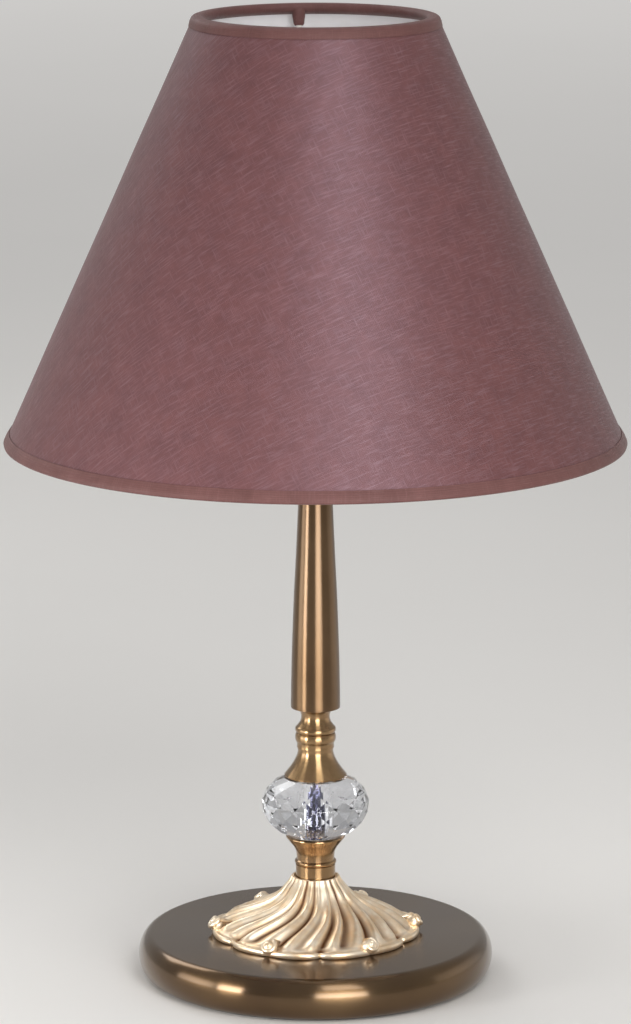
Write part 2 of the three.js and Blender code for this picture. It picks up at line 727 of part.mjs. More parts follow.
makeBaseFloor();
makeBaseShell();
makeCableBushing();
makeBaseWeight();
makeRod();
makeRosette();
makeCollar();
makeCrystal();
makeBellAndNeck();
makeStem();
makeLampholder();
makeShadeRing("shade_ring_lower", lowerRingBottom);
makeShadeRing("shade_ring_upper", upperRingBottom);
makeBulb();
makeShadeCover();
makeTrims();
makeShadeFrame();

export default lamp;
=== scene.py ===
from math import atan2, copysign, cos, degrees, dist, exp, hypot, pi, radians, sin, sqrt, tan

import bpy
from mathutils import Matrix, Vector, noise


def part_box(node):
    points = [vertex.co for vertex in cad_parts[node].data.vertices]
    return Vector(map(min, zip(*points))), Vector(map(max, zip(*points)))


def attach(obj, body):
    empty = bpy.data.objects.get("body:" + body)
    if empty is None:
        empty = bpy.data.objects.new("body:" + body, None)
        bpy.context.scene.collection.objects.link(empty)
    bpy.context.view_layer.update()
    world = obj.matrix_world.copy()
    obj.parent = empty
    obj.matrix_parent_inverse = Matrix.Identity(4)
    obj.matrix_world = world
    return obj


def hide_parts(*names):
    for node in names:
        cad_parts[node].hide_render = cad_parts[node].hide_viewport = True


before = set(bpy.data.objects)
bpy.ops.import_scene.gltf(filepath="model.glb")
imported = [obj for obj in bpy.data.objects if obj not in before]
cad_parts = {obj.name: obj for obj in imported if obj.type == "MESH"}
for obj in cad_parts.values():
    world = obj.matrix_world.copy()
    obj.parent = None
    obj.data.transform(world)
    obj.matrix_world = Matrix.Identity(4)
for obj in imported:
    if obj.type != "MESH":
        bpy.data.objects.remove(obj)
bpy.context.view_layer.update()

mm = 0.001
# radius in mm of the hole through everything that the threaded rod holds together
rodHole = 5.4
print("frame loaded,", len(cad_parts), "nodes")


# Working helpers

def clearSelection():
    active = bpy.context.view_layer.objects.active
    if active is not None and active.mode != "OBJECT":
        bpy.ops.object.mode_set(mode="OBJECT")
    bpy.ops.object.select_all(action="DESELECT")


def workOn(piece, *others):
    clearSelection()
    for other in others:
        other.select_set(True)
    piece.select_set(True)
    bpy.context.view_layer.objects.active = piece


def nameNewest(name):
    piece = bpy.context.object
    piece.name = name
    piece.data.name = name
    return piece


def arcLine(centreRadius, centreHeight, halfWidth, halfHeight, fromAngle, toAngle, steps):
    # points of radius and height along an elliptical arc, angles in degrees
    points = []
    for step in range(steps + 1):
        angle = radians(fromAngle + (toAngle - fromAngle) * step / steps)
        points.append((centreRadius + halfWidth * cos(angle), centreHeight + halfHeight * sin(angle)))
    return points


def smoothLine(points, steps):
    # a curve through all the given points, its ends included
    line = []
    last = len(points) - 1
    for step in range(steps + 1):
        place = last * step / steps
        index = min(int(place), last - 1)
        t = place - index
        around = [points[min(max(index + offset, 0), last)] for offset in (-1, 0, 1, 2)]
        values = []
        for before, start, end, after in zip(*around):
            startPull, endPull = (end - before) / 2, (after - start) / 2
            values.append(
                (2 * start - 2 * end + startPull + endPull) * t**3
                + (3 * end - 3 * start - 2 * startPull - endPull) * t**2
                + startPull * t + start
            )
        line.append(tuple(values))
    return line


def startEditing(piece, action="SELECT"):
    # opens the piece's mesh with all of it selected, or deselected
    workOn(piece)
    bpy.ops.object.mode_set(mode="EDIT")
    bpy.ops.mesh.select_all(action=action)


def alongLine(line):
    # each point of the line with the line's direction there
    for index, point in enumerate(line):
        before, after = line[max(index - 1, 0)], line[min(index + 1, len(line) - 1)]
        step = dist(before, after)
        yield point, ((after[0] - before[0]) / step, (after[1] - before[1]) / step)


def turnedPiece(name, outline, sides=128):
    # the outline, points of radius and height in mm, is drawn point by point and spun round the axis
    clearSelection()
    bpy.ops.mesh.primitive_plane_add(size=mm, location=(0, 0, 0))
    piece = nameNewest(name)
    startEditing(piece)
    bpy.ops.mesh.merge(type="CENTER")
    bpy.ops.transform.translate(value=(outline[0][0] * mm, 0, outline[0][1] * mm))
    for (radius, height), (nextRadius, nextHeight) in zip(outline, outline[1:]):
        move = ((nextRadius - radius) * mm, 0, (nextHeight - height) * mm)
        bpy.ops.mesh.extrude_vertices_move(TRANSFORM_OT_translate={"value": move})
    bpy.ops.mesh.select_all(action="SELECT")
    bpy.ops.mesh.spin(steps=sides, angle=2 * pi, center=(0, 0, 0), axis=(0, 0, 1))
    closeSeams(piece)
    return piece


def closeSeams(piece):
    # merges what coincides and turns every face outwards
    startEditing(piece)
    bpy.ops.mesh.remove_doubles(threshold=mm / 1000)
    bpy.ops.mesh.normals_make_consistent(inside=False)
    bpy.ops.object.mode_set(mode="OBJECT")


def boredOutline(outside):
    # the outside runs from bottom to top, and the straight hole for the rod closes it
    bottom, top = outside[0][1], outside[-1][1]
    return [(rodHole, bottom), *outside, (rodHole, top), (rodHole, bottom)]


def ringOutline(inner, outer, bottom, top):
    return [(inner, bottom), (outer, bottom), (outer, top), (inner, top), (inner, bottom)]


def discOutline(radius, bottom, top):
    return [(0, bottom), (radius, bottom), (radius, top), (0, top)]


def applyModifier(piece, kind, **settings):
    workOn(piece)
    modifier = piece.modifiers.new(kind.title(), kind)
    for setting, value in settings.items():
        setattr(modifier, setting, value)
    bpy.ops.object.modifier_apply(modifier=modifier.name)


def roundEdges(piece, width, segments=2, sharp=30):
    applyModifier(piece, "BEVEL", width=width * mm, segments=segments, limit_method="ANGLE",
                  angle_limit=radians(sharp), use_clamp_overlap=True)


def drillHole(piece, radius, length, middle, turn=0):
    # a round hole about that middle, in mm, upright or turned about the X axis
    clearSelection()
    bpy.ops.mesh.primitive_cylinder_add(
        vertices=48, radius=radius * mm, depth=length * mm, location=[value * mm for value in middle],
        rotation=(turn, 0, 0))
    drill = nameNewest("drill")
    applyModifier(piece, "BOOLEAN", operation="DIFFERENCE", object=drill, solver="EXACT")
    bpy.data.objects.remove(drill)


def joinPieces(piece, *others):
    workOn(piece, *others)
    bpy.ops.object.join()
    return piece


def copyRound(piece, count):
    # the piece and its copies, each with its own mesh, evenly round the axis
    ring = [piece]
    for index in range(1, count):
        workOn(piece)
        bpy.ops.object.duplicate(linked=False)
        copy = bpy.context.object
        copy.rotation_euler = (0, 0, 2 * pi * index / count)
        bpy.ops.object.transform_apply(location=False, rotation=True, scale=False)
        ring.append(copy)
    return ring


def wirePiece(name, points, radius, closed=False, sizes=None, roundness=3):
    # a round wire of that radius in mm along points in mm
    line = bpy.data.curves.new(name, "CURVE")
    line.dimensions = "3D"
    line.bevel_depth = radius * mm
    line.bevel_resolution = roundness
    line.use_fill_caps = not closed
    run = line.splines.new("POLY")
    run.points.add(len(points) - 1)
    run.use_cyclic_u = closed
    for index, point in enumerate(points):
        run.points[index].co = (*(value * mm for value in point), 1)
        run.points[index].radius = sizes[index] if sizes else 1
    piece = bpy.data.objects.new(name, line)
    bpy.context.scene.collection.objects.link(piece)
    workOn(piece)
    bpy.ops.object.convert(target="MESH")
    piece = nameNewest(name)
    closeSeams(piece)
    return piece


def finishPiece(piece, material, body, slot, *nodes, sharp=35):
    workOn(piece)
    bpy.ops.object.shade_smooth_by_angle(angle=radians(sharp))
    piece.data.materials.clear()
    piece.data.materials.append(material)
    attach(piece, body)
    if nodes:
        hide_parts(*nodes)
    return piece


def finishOnStand(piece, look, node, **settings):
    # the look is a material and its slot
    finishPiece(piece, look[0], "stand", look[1], node, **settings)


def dressNode(node, material):
    # a node whose CAD mesh is good enough as it is only gets its material
    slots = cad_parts[node].data.materials
    slots.clear()
    slots.append(material)


def heights(node):
    low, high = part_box(node)
    return low.z / mm, high.z / mm


# Material helpers

def hexColour(text):
    # an sRGB hex value as linear red, green, blue and alpha
    channels = [int(text[start:start + 2], 16) / 255 for start in (1, 3, 5)]
    linear = [value / 12.92 if value <= 0.04045 else ((value + 0.055) / 1.055) ** 2.4 for value in channels]
    return (*linear, 1)


def fillSockets(tree, sockets, values):
    # each socket, by name or number, gets another node's output, a hex colour or a plain value
    for name, value in values.items():
        socket = sockets[name.replace("_", " ") if isinstance(name, str) else name]
        if isinstance(value, bpy.types.NodeSocket):
            tree.links.new(value, socket)
        else:
            socket.default_value = hexColour(value) if isinstance(value, str) else value


def addNode(tree, kind, links=None, output=0, **settings):
    # links fills the node's sockets, settings are its own, and the output asked for comes back.
    # By number, a colour mix has its share at 0 and its colours at 6 and 7, and a map range its value at 0,
    # what it runs from at 1 and 2 and what it runs to at 3 and 4.
    node = tree.nodes.new("ShaderNode" + kind)
    for setting, value in settings.items():
        setattr(node, setting, value)
    fillSockets(tree, node.inputs, links or {})
    return node.outputs[output]


def startMaterial(name, **sockets):
    # a new material with its shader's own sockets set
    material = bpy.data.materials.new(name)
    material.use_nodes = True
    tree = material.node_tree
    shader = tree.nodes["Principled BSDF"].inputs
    fillSockets(tree, shader, sockets)
    return material, tree, shader


def perMetre(millimetres):
    # how many times a pattern of that size repeats in a metre
    return 1000 / millimetres


def finishShader(tree, shader, colour, rough, height, depth):
    # the relief's depth is in mm
    relief = addNode(tree, "Bump", {"Height": height, "Distance": depth * mm})
    fillSockets(tree, shader, dict(Base_Color=colour, Roughness=rough, Normal=relief))


def toneBetween(tree, pattern, low, high, first, second):
    # where the pattern is low the first colour shows, where it is high the second, and in between a mixture.
    # Most values of a noise pattern lie between 0.3 and 0.7, so those are often its low and high.
    tone = addNode(tree, "MapRange", {0: pattern, 1: low, 2: high})
    return addNode(tree, "Mix", {0: tone, 6: first, 7: second}, 2, data_type="RGBA")


def roundPlace(tree):
    # distance from the axis, a little of the way across, and height, so that a pattern runs round the piece
    acrossShare = 0.02
    place = addNode(tree, "TexCoord", output="Object")
    level = addNode(tree, "VectorMath", {0: place, 1: (1, 1, 0)}, operation="MULTIPLY")
    reach = addNode(tree, "VectorMath", {0: level}, "Value", operation="LENGTH")
    side = addNode(tree, "SeparateXYZ", {0: place}, "X")
    across = addNode(tree, "Math", {0: side, 1: acrossShare}, operation="MULTIPLY")
    height = addNode(tree, "SeparateXYZ", {0: place}, "Z")
    return addNode(tree, "CombineXYZ", {"X": reach, "Y": across, "Z": height})


# Materials

def spunMetal(name, look):
    # Turned or spun metal keeps fine lines round the axis, and its highlights are drawn out across them.
    material, tree, shader = startMaterial(
        name, Metallic=1, Anisotropic=look["anisotropic"], Anisotropic_Rotation=0.25,
        Coat_Weight=look["lacquer"], Coat_Roughness=0.12)
    place = addNode(tree, "TexCoord", output="Object")
    lines = addNode(tree, "TexNoise", {
        "Vector": roundPlace(tree), "Scale": perMetre(look["lineSpacing"]), "Detail": 2.0})
    clouds = addNode(tree, "TexNoise", {"Vector": place, "Scale": perMetre(look["cloudSize"]), "Detail": 3.0})
    colour = toneBetween(tree, clouds, 0.3, 0.7, look["dark"], look["light"])
    rough = addNode(tree, "MapRange", {
        0: clouds, 1: 0.3, 2: 0.7, 3: look["roughness"] - 0.03, 4: look["roughness"] + 0.04})
    finishShader(tree, shader, colour, rough, lines, look["lineDepth"])
    return material


spunMetals = {
    # electroplated bronze under a satin lacquer, brushed on the lathe
    "satinBronze": {"light": "#7e654b", "dark": "#68513a", "roughness": 0.32, "anisotropic": 0.95,
                    "lacquer": 0.2, "lineSpacing": 0.5, "lineDepth": 0.00012, "cloudSize": 38},
    # the same plate on the wide base, smooth enough to mirror the rosette, and painted darker as painted
    # shade
    "baseBronzeShaded": {"light": "#6f583d", "dark": "#5e4831", "roughness": 0.21, "anisotropic": 0.9,
                   "lacquer": 0.45, "lineSpacing": 0.5, "lineDepth": 0.00012, "cloudSize": 45},
    # the same plate on turned parts that were polished before plating, painted lighter as painted light
    "polishedBronze": {"light": "#a98b63", "dark": "#917150", "roughness": 0.22, "anisotropic": 1.0,
                       "lacquer": 0.35, "lineSpacing": 0.4, "lineDepth": 0.0002, "cloudSize": 22},
    # zinc plated steel, blue passivated
    "zincSteel": {"light": "#a9acb8", "dark": "#868a99", "roughness": 0.32, "anisotropic": 0.2,
                  "lacquer": 0.0, "lineSpacing": 0.6, "lineDepth": 0.004, "cloudSize": 9},
    # the zinc plated rod inside the glass ball, painted darker and bluer as painted shade seen through the
    # glass
    "rodZincShaded": {"light": "#77768c", "dark": "#55546a", "roughness": 0.28, "anisotropic": 0.2,
                 "lacquer": 0.0, "lineSpacing": 0.6, "lineDepth": 0.004, "cloudSize": 9},
    # drawn brass of the screw sleeve and the centre contact
    "contactBrass": {"light": "#dcb868", "dark": "#c29a4a", "roughness": 0.24, "anisotropic": 0.2,
                     "lacquer": 0.0, "lineSpacing": 0.5, "lineDepth": 0.003, "cloudSize": 8},
}
metals = {name: spunMetal(name, look) for name, look in spunMetals.items()}


def castPaleGold():
    # Cast zinc, plated pale gold, paler in random rubbed patches, with brown in the grooves and pits that is
    # partly patina and partly painted shade
    look = {"bright": "#fff0d8", "body": "#f2d6b0", "groove": "#6d472a", "roughness": 0.36,
            "grain": 0.5, "grainDepth": 0.01, "cloudSize": 7, "cloudShare": 0.25}
    material, tree, shader = startMaterial("castPaleGold", Metallic=0.85)
    place = addNode(tree, "TexCoord", output="Object")
    clouds = addNode(tree, "TexNoise", {"Vector": place, "Scale": perMetre(look["cloudSize"]), "Detail": 4.0})
    grain = addNode(tree, "TexNoise", {"Vector": place, "Scale": perMetre(look["grain"]), "Detail": 2.0})
    # the attribute's brown is partly patina and partly painted shade
    depth = addNode(tree, "Attribute", output="Fac", attribute_name="patinaAndShade")
    rubbed = toneBetween(tree, clouds, 0.35, 0.65, look["body"], look["bright"])
    uneven = addNode(tree, "Math", {0: clouds, 1: look["cloudShare"]}, operation="MULTIPLY")
    shadeAndPatina = addNode(tree, "Math", {0: depth, 1: uneven}, operation="ADD")
    colour = toneBetween(tree, shadeAndPatina, 0.45, 1.1, rubbed, look["groove"])
    rough = addNode(tree, "MapRange", {
        0: shadeAndPatina, 1: 0.2, 2: 1.1, 3: look["roughness"], 4: look["roughness"] + 0.25})
    finishShader(tree, shader, colour, rough, grain, look["grainDepth"])
    return material


def castIron():
    # Sand-cast iron: grainy, dark grey, with a little brown
    look = {"grey": "#3b3a3b", "rust": "#4a3a31", "roughness": 0.7, "sand": 1.2, "sandDepth": 0.15,
            "rustSize": 18}
    material, tree, shader = startMaterial("castIron", Metallic=0.6)
    place = addNode(tree, "TexCoord", output="Object")
    sand = addNode(tree, "TexNoise", {"Vector": place, "Scale": perMetre(look["sand"]), "Detail": 4.0})
    rust = addNode(tree, "TexNoise", {"Vector": place, "Scale": perMetre(look["rustSize"]), "Detail": 5.0})
    colour = toneBetween(tree, rust, 0.45, 0.7, look["grey"], look["rust"])
    finishShader(tree, shader, colour, look["roughness"], sand, look["sandDepth"])
    return material


def mouldedPlastic(name, look):
    # Injection moulded plastic: an even colour, a fine spark-eroded grain and slightly softer gloss in places
    grainSize, flowSize = 0.35, 12
    material, tree, shader = startMaterial(name, IOR=1.5)
    place = addNode(tree, "TexCoord", output="Object")
    grain = addNode(tree, "TexNoise", {"Vector": place, "Scale": perMetre(grainSize), "Detail": 2.0})
    flow = addNode(tree, "TexNoise", {"Vector": place, "Scale": perMetre(flowSize), "Detail": 2.0})
    colour = toneBetween(tree, flow, 0.35, 0.65, look["dark"], look["light"])
    rough = addNode(tree, "MapRange", {
        0: flow, 1: 0.3, 2: 0.7, 3: look["roughness"] - 0.05, 4: look["roughness"] + 0.05})
    finishShader(tree, shader, colour, rough, grain, look["grainDepth"])
    return material


plastics = {
    # glass-filled thermoplastic of the lampholder, its rings and the bushing
    "blackThermoplastic": {"light": "#1f1e1f", "dark": "#161516", "roughness": 0.38, "grainDepth": 0.01},
    # white heat-resistant insert
    "whiteUrea": {"light": "#ece8df", "dark": "#e2ddd2", "roughness": 0.3, "grainDepth": 0.004},
    # soft clear sheet between glass and metal
    "clearVinyl": {"light": "#cfd2d3", "dark": "#c3c6c8", "roughness": 0.35, "grainDepth": 0.002},
    # white powder coat on the wire frame, with its slight orange peel
    "whitePowderCoat": {"light": "#ebe8e2", "dark": "#e0dcd4", "roughness": 0.36, "grainDepth": 0.02},
    # smooth white styrene sheet that the shade's fabric is laminated on
    "whiteStyrene": {"light": "#f6f5f7", "dark": "#efeef0", "roughness": 0.42, "grainDepth": 0.004},
}
moulded = {name: mouldedPlastic(name, look) for name, look in plastics.items()}


def fibreBoard(name, look):
    # Pressed fibres lie every way: felt is soft and dull, hardboard is brown with a faint glaze
    material, tree, shader = startMaterial(name, Sheen_Weight=look["sheen"], Sheen_Roughness=0.5)
    place = addNode(tree, "TexCoord", output="Object")
    fibres = addNode(tree, "TexNoise", {
        "Vector": place, "Scale": perMetre(look["fibre"]), "Detail": 5.0, "Distortion": 1.2})
    colour = toneBetween(tree, fibres, 0.3, 0.7, look["dark"], look["light"])
    rough = addNode(tree, "MapRange", {0: fibres, 1: 0.3, 2: 0.7, 3: look["roughness"], 4: 1.0})
    finishShader(tree, shader, colour, rough, fibres, look["depth"])
    return material


darkFelt = fibreBoard("woolFelt", {"light": "#3a302e", "dark": "#231c1b", "fibre": 1.5, "depth": 0.3,
                                   "roughness": 0.9, "sheen": 0.35})
hardboard = fibreBoard("pressedHardboard", {"light": "#7d5f45", "dark": "#5b4330", "fibre": 2.5,
                                            "depth": 0.08, "roughness": 0.6, "sheen": 0.0})


def cutCrystal():
    # Lead-free crystal, cut and polished: clear, high index, with a faint trace of polishing on its facets,
    # and a faint grey-blue tint that is painted shade
    polishSize = 9
    material, tree, shader = startMaterial(
        "cutCrystal", Transmission_Weight=1, IOR=1.58, Base_Color="#edeff4")
    place = addNode(tree, "TexCoord", output="Object")
    polish = addNode(tree, "TexNoise", {"Vector": place, "Scale": perMetre(polishSize), "Detail": 1.0})
    rough = addNode(tree, "MapRange", {0: polish, 1: 0.3, 2: 0.7, 3: 0.0, 4: 0.03})
    fillSockets(tree, shader, dict(Roughness=rough))
    return material


def opalGlass():
    # Opal glass with a white inner coat scatters light, so that the bulb looks milky all over
    hazeSize = 15
    material, tree, shader = startMaterial(
        "opalGlass", IOR=1.5, Subsurface_Weight=0.5, Subsurface_Scale=0.004, Coat_Weight=0.4,
        Coat_Roughness=0.04)
    place = addNode(tree, "TexCoord", output="Object")
    haze = addNode(tree, "TexNoise", {"Vector": place, "Scale": perMetre(hazeSize), "Detail": 2.0})
    colour = toneBetween(tree, haze, 0.35, 0.65, "#efece5", "#f6f4ef")
    rough = addNode(tree, "MapRange", {0: haze, 1: 0.3, 2: 0.7, 3: 0.16, 4: 0.24})
    fillSockets(tree, shader, dict(Base_Color=colour, Roughness=rough))
    return material


def wovenCloth(name, look):
    # Plain weave of silky thread: slubs, thicker lengths of thread, run both ways and catch the light, and
    # their lighter colour is partly their own tone and partly painted sheen.
    # Real threads stand about 0.35 mm apart, too fine to show, so the weave is drawn coarser.
    material, tree, shader = startMaterial(
        name, Sheen_Weight=look["sheen"], Sheen_Roughness=0.4, Specular_IOR_Level=look["gloss"],
        Specular_Tint=look["glossTint"])
    flat = addNode(tree, "UVMap", uv_map="flatCut")
    turned = addNode(tree, "Mapping", {"Vector": flat, "Rotation": (0, 0, radians(look["grain"]))})
    clouds = addNode(tree, "TexNoise", {
        "Vector": flat, "Scale": perMetre(look["cloudSize"]), "Detail": 3.5, "Roughness": 0.75})
    slubs = []
    long, wide = look["slubLength"], look["slubWidth"]
    for along, across in ((long, wide), (wide, long)):
        scaled = addNode(tree, "Mapping", {
            "Vector": turned, "Scale": (perMetre(along), perMetre(across), 1),
            "Location": (along, across, 0)})
        slubs.append(addNode(tree, "TexNoise", {
            "Vector": scaled, "Scale": 1.0, "Detail": 2.0, "Roughness": 0.6}))
    # a wave texture's scale of 1 gives pi tenths of a metre to a band
    ribs = [addNode(tree, "TexWave", {
        "Vector": turned, "Scale": perMetre(look["threadSpacing"]) * pi / 10, "Distortion": 0.0},
        "Fac", bands_direction=direction, wave_profile="SIN") for direction in ("X", "Y")]
    weave = addNode(tree, "Math", {0: ribs[0], 1: ribs[1]}, operation="MULTIPLY")
    fainter = addNode(tree, "Math", {0: slubs[1], 1: look["crossShare"]}, operation="MULTIPLY")
    crossed = addNode(tree, "Math", {0: slubs[0], 1: fainter}, operation="MAXIMUM")
    thread = addNode(tree, "MapRange", {0: crossed, 1: look["slubFrom"], 2: look["slubTo"]})
    ground = toneBetween(tree, clouds, 0.3, 0.7, look["dark"], look["body"])
    # partly painted sheen: the slubs take the lighter colour
    slubToneAndSheen = addNode(tree, "Math", {0: thread, 1: look["slubShare"]}, operation="MULTIPLY")
    colour = addNode(tree, "Mix", {0: slubToneAndSheen, 6: ground, 7: look["light"]}, 2, data_type="RGBA")
    dim = addNode(tree, "Math", {0: weave, 1: look["weaveShare"]}, operation="MULTIPLY")
    colour = addNode(tree, "Mix", {0: dim, 6: colour, 7: look["shadow"]}, 2, data_type="RGBA")
    rough = addNode(tree, "MapRange", {0: thread, 3: look["roughness"], 4: look["roughness"] - 0.12})
    raised = addNode(tree, "Math", {0: thread, 1: 0.6}, operation="MULTIPLY")
    relief = addNode(tree, "Math", {0: weave, 1: raised}, operation="SUBTRACT")
    finishShader(tree, shader, colour, rough, relief, look["depth"])
    return material


# the slubs' light colour is close to the sheen's colour and is partly painted sheen
shadeFabric = wovenCloth("mauveBrownSatinWeave", {
    "body": "#653d3a", "dark": "#583432", "light": "#917880", "shadow": "#442a29", "glossTint": "#f7e2f5",
    "grain": -25, "threadSpacing": 0.8, "slubLength": 11, "slubWidth": 0.9, "slubFrom": 0.48, "slubTo": 0.8,
    "crossShare": 0.9, "slubShare": 0.36, "weaveShare": 0.25, "cloudSize": 14, "roughness": 0.46,
    "sheen": 0.03, "gloss": 0.78, "depth": 0.05})
bindingTape = wovenCloth("redBrownBindingTape", {
    "body": "#6c4845", "dark": "#5d3c39", "light": "#7b5c59", "shadow": "#412826", "glossTint": "#f4e4e4",
    "grain": 0, "threadSpacing": 0.7, "slubLength": 9, "slubWidth": 0.6, "slubFrom": 0.55, "slubTo": 0.8,
    "crossShare": 1.0, "slubShare": 0.4, "weaveShare": 0.4, "cloudSize": 18, "roughness": 0.6,
    "sheen": 0.08, "gloss": 0.4, "depth": 0.05})
materials = {"castPaleGold": castPaleGold(), "castIron": castIron(), "cutCrystal": cutCrystal(),
             "opalGlass": opalGlass()}
polishedBronze = metals["polishedBronze"], "bronze_polished"
blackPlastic = moulded["blackThermoplastic"], "holder_black"
print("materials made")


# Base: spun shell with its rim, the felt under it and the bushing at the back

def makeBase():
    size = {"flatRadius": 85, "rimBulge": 7.1, "wall": 1.2, "footLift": 0.8, "holeLand": 30,
            "cableHole": 4.5, "drill": 14, "drillPlace": 92, "feltRadius": 84.6, "feltEdge": 0.4}
    low, top = size["footLift"], heights("base_shell")[1]
    middle, half, under = (top + low) / 2, (top - low) / 2, top - size["wall"]
    outside = arcLine(size["flatRadius"], middle, size["rimBulge"], half, -90, 90, 40)
    inside = arcLine(size["flatRadius"], middle, size["rimBulge"] - size["wall"], half - size["wall"],
                     90, -90, 20)
    hole = [(size["holeLand"], top), (rodHole, top), (rodHole, under), (size["holeLand"], under)]
    shell = turnedPiece("baseShell", [*outside, *hole, *inside, outside[0]], 192)
    drillHole(shell, size["cableHole"], size["drill"], (0, size["drillPlace"], middle), turn=pi / 2)
    finishOnStand(shell, (metals["baseBronzeShaded"], "bronze_satin"), "base_shell")
    felt = turnedPiece("feltPad", discOutline(size["feltRadius"], *heights("felt_pad")), 144)
    roundEdges(felt, size["feltEdge"])
    finishOnStand(felt, (darkFelt, "felt_dark"), "felt_pad")
    dressNode("base_board", hardboard)
    dressNode("base_weight", materials["castIron"])
    dressNode("base_washer", metals["zincSteel"])
    dressNode("base_nut", metals["zincSteel"])


def makeBushing():
    # turned on the Z axis first, then laid down so that it points to the back
    size = {"bore": 3.2, "neck": 4.2, "flange": 6, "flangeThick": 1.5, "barb": 4.8, "barbLength": 1.6,
            "chamfer": 0.5, "lip": 1, "lipTall": 0.9}
    low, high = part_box("cable_bushing")
    inner, outer = low.y / mm, high.y / mm
    flangeBack, barbEnd = outer - size["flangeThick"], inner + size["barbLength"]
    lipHeight = outer - size["lipTall"]
    outline = [
        (size["bore"] + size["chamfer"], inner), (size["neck"] - 0.3, inner), (size["neck"], inner + 0.4),
        (size["barb"], barbEnd), (size["neck"], barbEnd), (size["neck"], flangeBack),
        (size["flange"], flangeBack),
        *arcLine(size["flange"] - size["lip"], lipHeight, size["lip"], size["lipTall"], 0, 80, 6),
        *arcLine(size["bore"] + size["lip"], lipHeight, size["lip"], size["lipTall"], 100, 180, 6),
        (size["bore"], inner + 0.6), (size["bore"] + size["chamfer"], inner)]
    bushing = turnedPiece("cableBushing", outline, 48)
    bushing.rotation_euler.x = -pi / 2
    bushing.location.z = (low.z + high.z) / 2
    workOn(bushing)
    bpy.ops.object.transform_apply(location=True, rotation=True, scale=False)
    finishOnStand(bushing, blackPlastic, "cable_bushing")


makeBase()
makeBushing()
print("base made")


# Rosette: a turned body whose outside is carved into swirled leaves, with a scalloped lip and curled ends

rosetteSize = {
    "topRadius": 12.4, "rimRadius": 54.5, "lipRound": 1.3, "scallops": 12, "curls": 6, "grooveDepth": 3.4,
    "pitDepth": 1.7, "scallopDepth": 4.0, "scallopLift": 1.0, "swirl": 23, "scallopStart": 2.5,
    "seatRadius": 11.3, "seatDepth": 1.5, "curlCircle": 51.2, "sides": 480,
    "leafLean": 1.4, "leafRound": 0.16, "lipPlace": 0.95, "lipReach": 0.032, "foot": 52,
    "hollow": [(49, 0), (47.5, 0.6), (40, 5.2), (30, 10.2), (20, 13.2), (rodHole, 13.2)],
}
# where the leaves meet, repeated every 60 degrees: the azimuth at the rim, the depth there and at the top
leafEdges = [(2.5, 1.0, 0.6), (15.5, 0.9, 1.0), (35.0, 1.0, 0.9), (48.0, 0.65, 0.25)]


def crownOutline(bottom, top):
    # crown line of the leaves from the collar's seat out to the lip, as shares of the way out and up
    size = rosetteSize
    shares = [(0, 1), (0.031, 0.917), (0.076, 0.838), (0.181, 0.673), (0.323, 0.548), (0.513, 0.432),
              (0.679, 0.33), (0.798, 0.238), (0.869, 0.162), (0.912, 0.099), (0.941, 0.079)]
    return smoothLine([
        (size["topRadius"] + (size["rimRadius"] - size["topRadius"]) * reach, bottom + (top - bottom) * rise)
        for reach, rise in shares], 60)


def leafShape(angle, down):
    # the leaf's height, which rises gently from its left edge and falls steeply at its right one, and the
    # depth of its edges
    turn = (degrees(angle) - rosetteSize["swirl"] - leafEdges[0][0]) % 60 + leafEdges[0][0]
    edges = [*leafEdges, (leafEdges[0][0] + 60, *leafEdges[0][1:])]
    for left, right in zip(edges, edges[1:]):
        if turn <= right[0]:
            break
    share = min((turn - left[0]) / (right[0] - left[0]), 1)
    blunt = rosetteSize["leafRound"]
    rise = sin(pi * share ** rosetteSize["leafLean"])
    rise = (hypot(rise, blunt) - blunt) / (hypot(1, blunt) - blunt)
    lower = gentleStep(down, 0.15, 0.6)
    depths = [edge[1] * lower + edge[2] * (1 - lower) for edge in (left, right)]
    return rise, depths[0] * (1 - share) + depths[1] * share


def alongCrown(line):
    # for each point of the crown line, its share of the way down and the line's direction there
    lengths = [0]
    for start, end in zip(line, line[1:]):
        lengths.append(lengths[-1] + dist(start, end))
    return [(*point, length / lengths[-1], direction)
            for (point, direction), length in zip(alongLine(line), lengths)]


def gentleStep(value, low, high):
    # nothing below low, all above high, and an easy rise between them
    share = min(max((value - low) / (high - low), 0), 1)
    return share * share * (3 - 2 * share)


